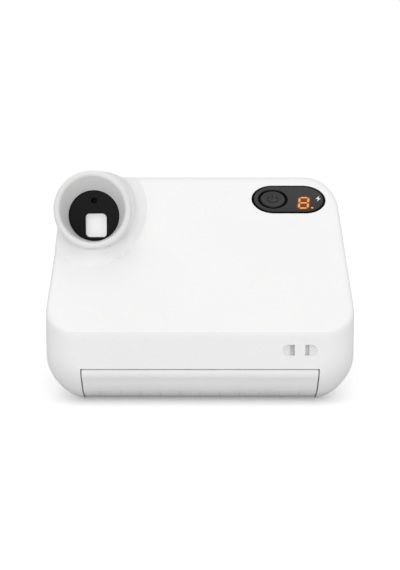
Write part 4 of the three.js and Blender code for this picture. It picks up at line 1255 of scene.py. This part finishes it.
def sensor(node, name):
    low, high = span(node)
    radius = (high[0] - low[0]) / 2
    eye = make(name, turned(
        bulged(radius, low[1], high[1] - 0.5, 0.4), middle(node)[[0, 2]], count=48
    ))
    return finish(eye, BODY, "panel", "gloss_black", node)


# ---- Buttons ----


def top_button(node, name, body, finish_name, slot):
    """A cap with a rounded rim and a shallow dish, on its stem."""
    low, high = span(node)
    radius, top = (high[0] - low[0]) / 2, high[2]
    edge = 0.5
    rows = [(0, low[2]), (1, low[2]), (1, top - 2.5), (radius - 0.1, top - 2.5),
            (radius, top - 2.4)]
    rows += [(radius - edge * (1 - math.cos(a)), top - edge * (1 - math.sin(a)))
             for a in np.linspace(0, math.pi / 2, 7)]
    inner = radius - edge - 0.35
    rows += [(inner * t, top - 0.3 * (1 - t**2)) for t in np.linspace(1, 0, 12)]
    cap = make(name, turned(rows, middle(node)[:2], flat_up))
    return finish(cap, body, finish_name, slot, node)


# ---- Side fittings ----


def latch_slider():
    """The door latch: a ribbed pad in the side, with its stem, arm and finger."""
    low, high = span("latch_slider")
    y, z, face = low[1], 15.0, high[0]
    outline = rectangle((y + LATCH_PAD[0] / 2, z), LATCH_PAD, 1.0)
    latch = make("latch_pad", plate(outline, soft(face - 1.5, face - 0.15, 0.35), sideways))
    for i in range(5):
        ridge = rectangle((y + 3.2 + i * 1.4, z), (0.65, 3.0), 0.3)
        join(latch, plate(ridge, soft(face - 0.5, face + 0.1, 0.2), sideways))
    bay = low[0] + 2.6
    stem = ((bay + 0.5, y + 4, z - 1.5), (face - 1.3, y + 7, z + 1.5))
    arm = ((bay + 0.5, y + 2.6, low[2]), (bay + 2.5, y + 7.6, z + 1.4))
    finger = ((low[0], y + 2.6, low[2] + 0.02), (bay + 1, y + 5, low[2] + 1.3))
    join(latch, block(*stem), block(*arm), block(*finger))
    return finish(latch, "latch", "cup", "soft_white", "latch_slider")


def usb_socket():
    """The charging socket: a drawn steel shell with a tongue inside."""
    low, high = span("usb_socket")
    centre, size = (low + high)[1:] / 2, (high - low)[1:]
    outer, mouth = stadium(centre, size), stadium(centre, size, inset=0.45)
    shell = make("socket_shell", plate(outer, soft(low[0], high[0], 0.12), sideways))
    cut(shell, plate(mouth, flared(low[0] + 0.6, high[0], 0.12), sideways))
    finish(shell, BODY, "steel", "steel", "usb_socket")
    blade = rectangle(centre, (size[0] - 2.2, 0.6), 0.15)
    levels = soft(low[0] + 0.4, high[0] - 0.5, 0.15)
    tongue = make("socket_tongue", plate(blade, levels, sideways))
    finish(tongue, BODY, "inner", "matt_black", "usb_socket")


# ---- Carried-over pieces ----

CARRIED = {
    "steel": ("case_screw", "door_hinge_pin", "roller_bracket", "shutter_blade", "shutter_solenoid",
              "motor", "power_switch", "shutter_switch", "flash_switch"),
    "turned": ("upper_roller", "lower_roller"),
    "acetal": ("idler_gear", "motor_pinion"),
    "board": ("control_pcb", "main_pcb"),
    "mirror": ("mirror", "flash_reflector"),
    "pane": ("rear_lens", "flash_tube"),
    "foil": ("film_shield",),
    "black": ("battery", "flash_capacitor", "display_module"),
    "inner": ("film_chamber", "door_liner", "viewfinder_tube", "mirror_box", "shutter_plate"),
}


def dress_carried():
    """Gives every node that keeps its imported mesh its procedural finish.

    A numbered node, such as the second of four screws, takes the finish of its name without the
    number.
    """
    for finish_name, kinds in CARRIED.items():
        for name in NODES:
            stem, _, number = name.rpartition("_")
            if name in kinds or (number.isdigit() and stem in kinds):
                mesh = NODES[name].data
                mesh.materials.clear()
                mesh.materials.append(finishes()[finish_name])


# ---- Stage ----


def soft_sun(name, direction, strength, spread):
    """An even light from one side of the sky, as soft as a large diffuser far off."""
    lamp = bpy.data.lights.new(name, "SUN")
    lamp.energy = strength
    lamp.angle = math.radians(spread)
    obj = bpy.data.objects.new(name, lamp)
    bpy.context.scene.collection.objects.link(obj)
    obj.rotation_euler = Vector(direction).to_track_quat("-Z", "Y").to_euler()


def white_floor():
    """A wide level floor, its finish a matt white card."""
    reach = 6.0
    corners = np.array([(-reach, -reach), (reach, -reach), (reach, reach), (-reach, reach)])
    mesh = bpy.data.meshes.new("floor")
    points = np.column_stack([corners, np.zeros(4)])
    mesh.from_pydata(points.tolist(), [], [[0, 1, 2, 3]])
    floor = bpy.data.objects.new("floor", mesh)
    bpy.context.scene.collection.objects.link(floor)
    floor.location.z = -0.0001
    card = material("white card", (0.93, 0.93, 0.93), 0.9, Emission_Strength=0.27)
    card.node_tree.nodes["Principled BSDF"].inputs["Emission Color"].default_value = (1, 1, 1, 1)
    dim = node(card, "ShaderNodeBsdfDiffuse", Color=(0.72, 0.72, 0.72, 1.0))
    seen = node(card, "ShaderNodeLightPath")
    mix = node(card, "ShaderNodeMixShader")
    link(card, seen.outputs["Is Camera Ray"], mix.inputs["Fac"])
    link(card, dim.outputs["BSDF"], mix.inputs[1])
    link(card, card.node_tree.nodes["Principled BSDF"].outputs["BSDF"], mix.inputs[2])
    link(card, mix.outputs["Shader"], card.node_tree.nodes["Material Output"].inputs["Surface"])
    mesh.materials.append(card)


def studio_world():
    """An even white surround, dimmer as light than as backdrop."""
    world = bpy.data.worlds.new("studio")
    bpy.context.scene.world = world
    world.use_nodes = True
    tree = world.node_tree
    background = tree.nodes["Background"]
    background.inputs["Color"].default_value = (1, 1, 1, 1)
    path = tree.nodes.new("ShaderNodeLightPath")
    spread = tree.nodes.new("ShaderNodeMapRange")
    spread.inputs["To Min"].default_value = 0.57
    spread.inputs["To Max"].default_value = 1.05
    tree.links.new(path.outputs["Is Camera Ray"], spread.inputs["Value"])
    tree.links.new(spread.outputs["Result"], background.inputs["Strength"])


def camera():
    lens = bpy.data.cameras.new("camera")
    lens.lens = 61.5
    lens.sensor_width = 36.0
    lens.clip_start = 0.01
    lens.clip_end = 50.0
    obj = bpy.data.objects.new("camera", lens)
    bpy.context.scene.collection.objects.link(obj)
    obj.location = (0.0, -0.3033, 0.0586)
    obj.rotation_euler = (math.radians(84.0), 0.0, 0.0)
    bpy.context.scene.camera = obj


# ---- Operators ----


class Builder(bpy.types.Operator):
    """Shared options of the building operators."""

    bl_options = {"REGISTER", "UNDO"}


class INSTANTCAM_OT_covers(Builder):
    """Build the rear and the front cover"""

    bl_idname = "instantcam.covers"
    bl_label = "Covers"

    def execute(self, context):
        rear, front = split_covers(whole_shell())
        rear_cover(rear)
        front_cover(front)
        return {"FINISHED"}


class INSTANTCAM_OT_door(Builder):
    """Build the film door"""

    bl_idname = "instantcam.door"
    bl_label = "Film door"

    def execute(self, context):
        film_door()
        return {"FINISHED"}


class INSTANTCAM_OT_eyepiece(Builder):
    """Build the eyecup, its black disc and its lens"""

    bl_idname = "instantcam.eyepiece"
    bl_label = "Eyepiece"

    def execute(self, context):
        eyepiece_cup()
        eyepiece_plate()
        eyepiece_lens()
        return {"FINISHED"}


class INSTANTCAM_OT_panel(Builder):
    """Build the control panel with its button, digit and sign"""

    bl_idname = "instantcam.panel"
    bl_label = "Control panel"

    def execute(self, context):
        panel_face()
        panel_rim()
        power_button()
        digit()
        charge_symbol()
        return {"FINISHED"}


class INSTANTCAM_OT_lens(Builder):
    """Build the lens bezel, barrel and front element"""

    bl_idname = "instantcam.lens"
    bl_label = "Lens"

    def execute(self, context):
        lens_bezel()
        lens_glass()
        return {"FINISHED"}


class INSTANTCAM_OT_front(Builder):
    """Build the flash window, finder pane, selfie mirror and sensors"""

    bl_idname = "instantcam.front"
    bl_label = "Front fittings"

    def execute(self, context):
        flash_window()
        finder_pane()
        selfie_mirror()
        sensor("light_sensor", "light_eye")
        sensor("distance_sensor", "distance_eye")
        return {"FINISHED"}


class INSTANTCAM_OT_buttons(Builder):
    """Build the shutter and flash buttons"""

    bl_idname = "instantcam.buttons"
    bl_label = "Top buttons"

    def execute(self, context):
        top_button("shutter_button", "shutter_cap", "shutter_button", "red", "red_button")
        top_button("flash_button", "flash_cap", "flash_button", "cup", "gloss_black")
        return {"FINISHED"}


class INSTANTCAM_OT_side(Builder):
    """Build the door latch and the charging socket"""

    bl_idname = "instantcam.side"
    bl_label = "Side fittings"

    def execute(self, context):
        latch_slider()
        usb_socket()
        return {"FINISHED"}


class INSTANTCAM_OT_carried(Builder):
    """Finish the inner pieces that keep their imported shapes"""

    bl_idname = "instantcam.carried"
    bl_label = "Inner pieces"

    def execute(self, context):
        dress_carried()
        return {"FINISHED"}


class INSTANTCAM_OT_stage(Builder):
    """Set the floor, the lights and the camera"""

    bl_idname = "instantcam.stage"
    bl_label = "Stage"

    def execute(self, context):
        white_floor()
        studio_world()
        soft_sun("top_softbox", (0.0, 0.1, -1.0), 0.85, 70.0)
        soft_sun("rear_softbox", (0.0, 0.98, -0.17), 1.27, 55.0)
        camera()
        context.scene.view_settings.view_transform = "Standard"
        return {"FINISHED"}


OPERATORS = (
    INSTANTCAM_OT_covers,
    INSTANTCAM_OT_door,
    INSTANTCAM_OT_eyepiece,
    INSTANTCAM_OT_panel,
    INSTANTCAM_OT_lens,
    INSTANTCAM_OT_front,
    INSTANTCAM_OT_buttons,
    INSTANTCAM_OT_side,
    INSTANTCAM_OT_carried,
    INSTANTCAM_OT_stage,
)


class INSTANTCAM_PT_sidebar(bpy.types.Panel):
    """Sizes, colours and building steps in the 3D view's sidebar."""

    bl_label = "Instant Camera"
    bl_idname = "INSTANTCAM_PT_sidebar"
    bl_space_type = "VIEW_3D"
    bl_region_type = "UI"
    bl_category = "Instant Camera"

    def draw(self, context):
        settings = context.scene.instant_camera
        for group in (settings.sizes, settings.colours):
            column = self.layout.column()
            for name in group.bl_rna.properties.keys():
                if name not in {"rna_type", "name"}:
                    column.prop(group, name)
        for operator in OPERATORS:
            self.layout.operator(operator.bl_idname)


CLASSES = (
    INSTANTCAM_Sizes,
    INSTANTCAM_Colours,
    INSTANTCAM_Settings,
    *OPERATORS,
    INSTANTCAM_PT_sidebar,
)


def register():
    for cls in CLASSES:
        bpy.utils.register_class(cls)
    bpy.types.Scene.instant_camera = PointerProperty(type=INSTANTCAM_Settings)


def unregister():
    del bpy.types.Scene.instant_camera
    for cls in reversed(CLASSES):
        bpy.utils.unregister_class(cls)


def main():
    """Registers the add-on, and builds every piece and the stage."""
    register()
    for operator in OPERATORS:
        group, name = operator.bl_idname.split(".")
        getattr(getattr(bpy.ops, group), name)()


if __name__ == "__main__":
    main()
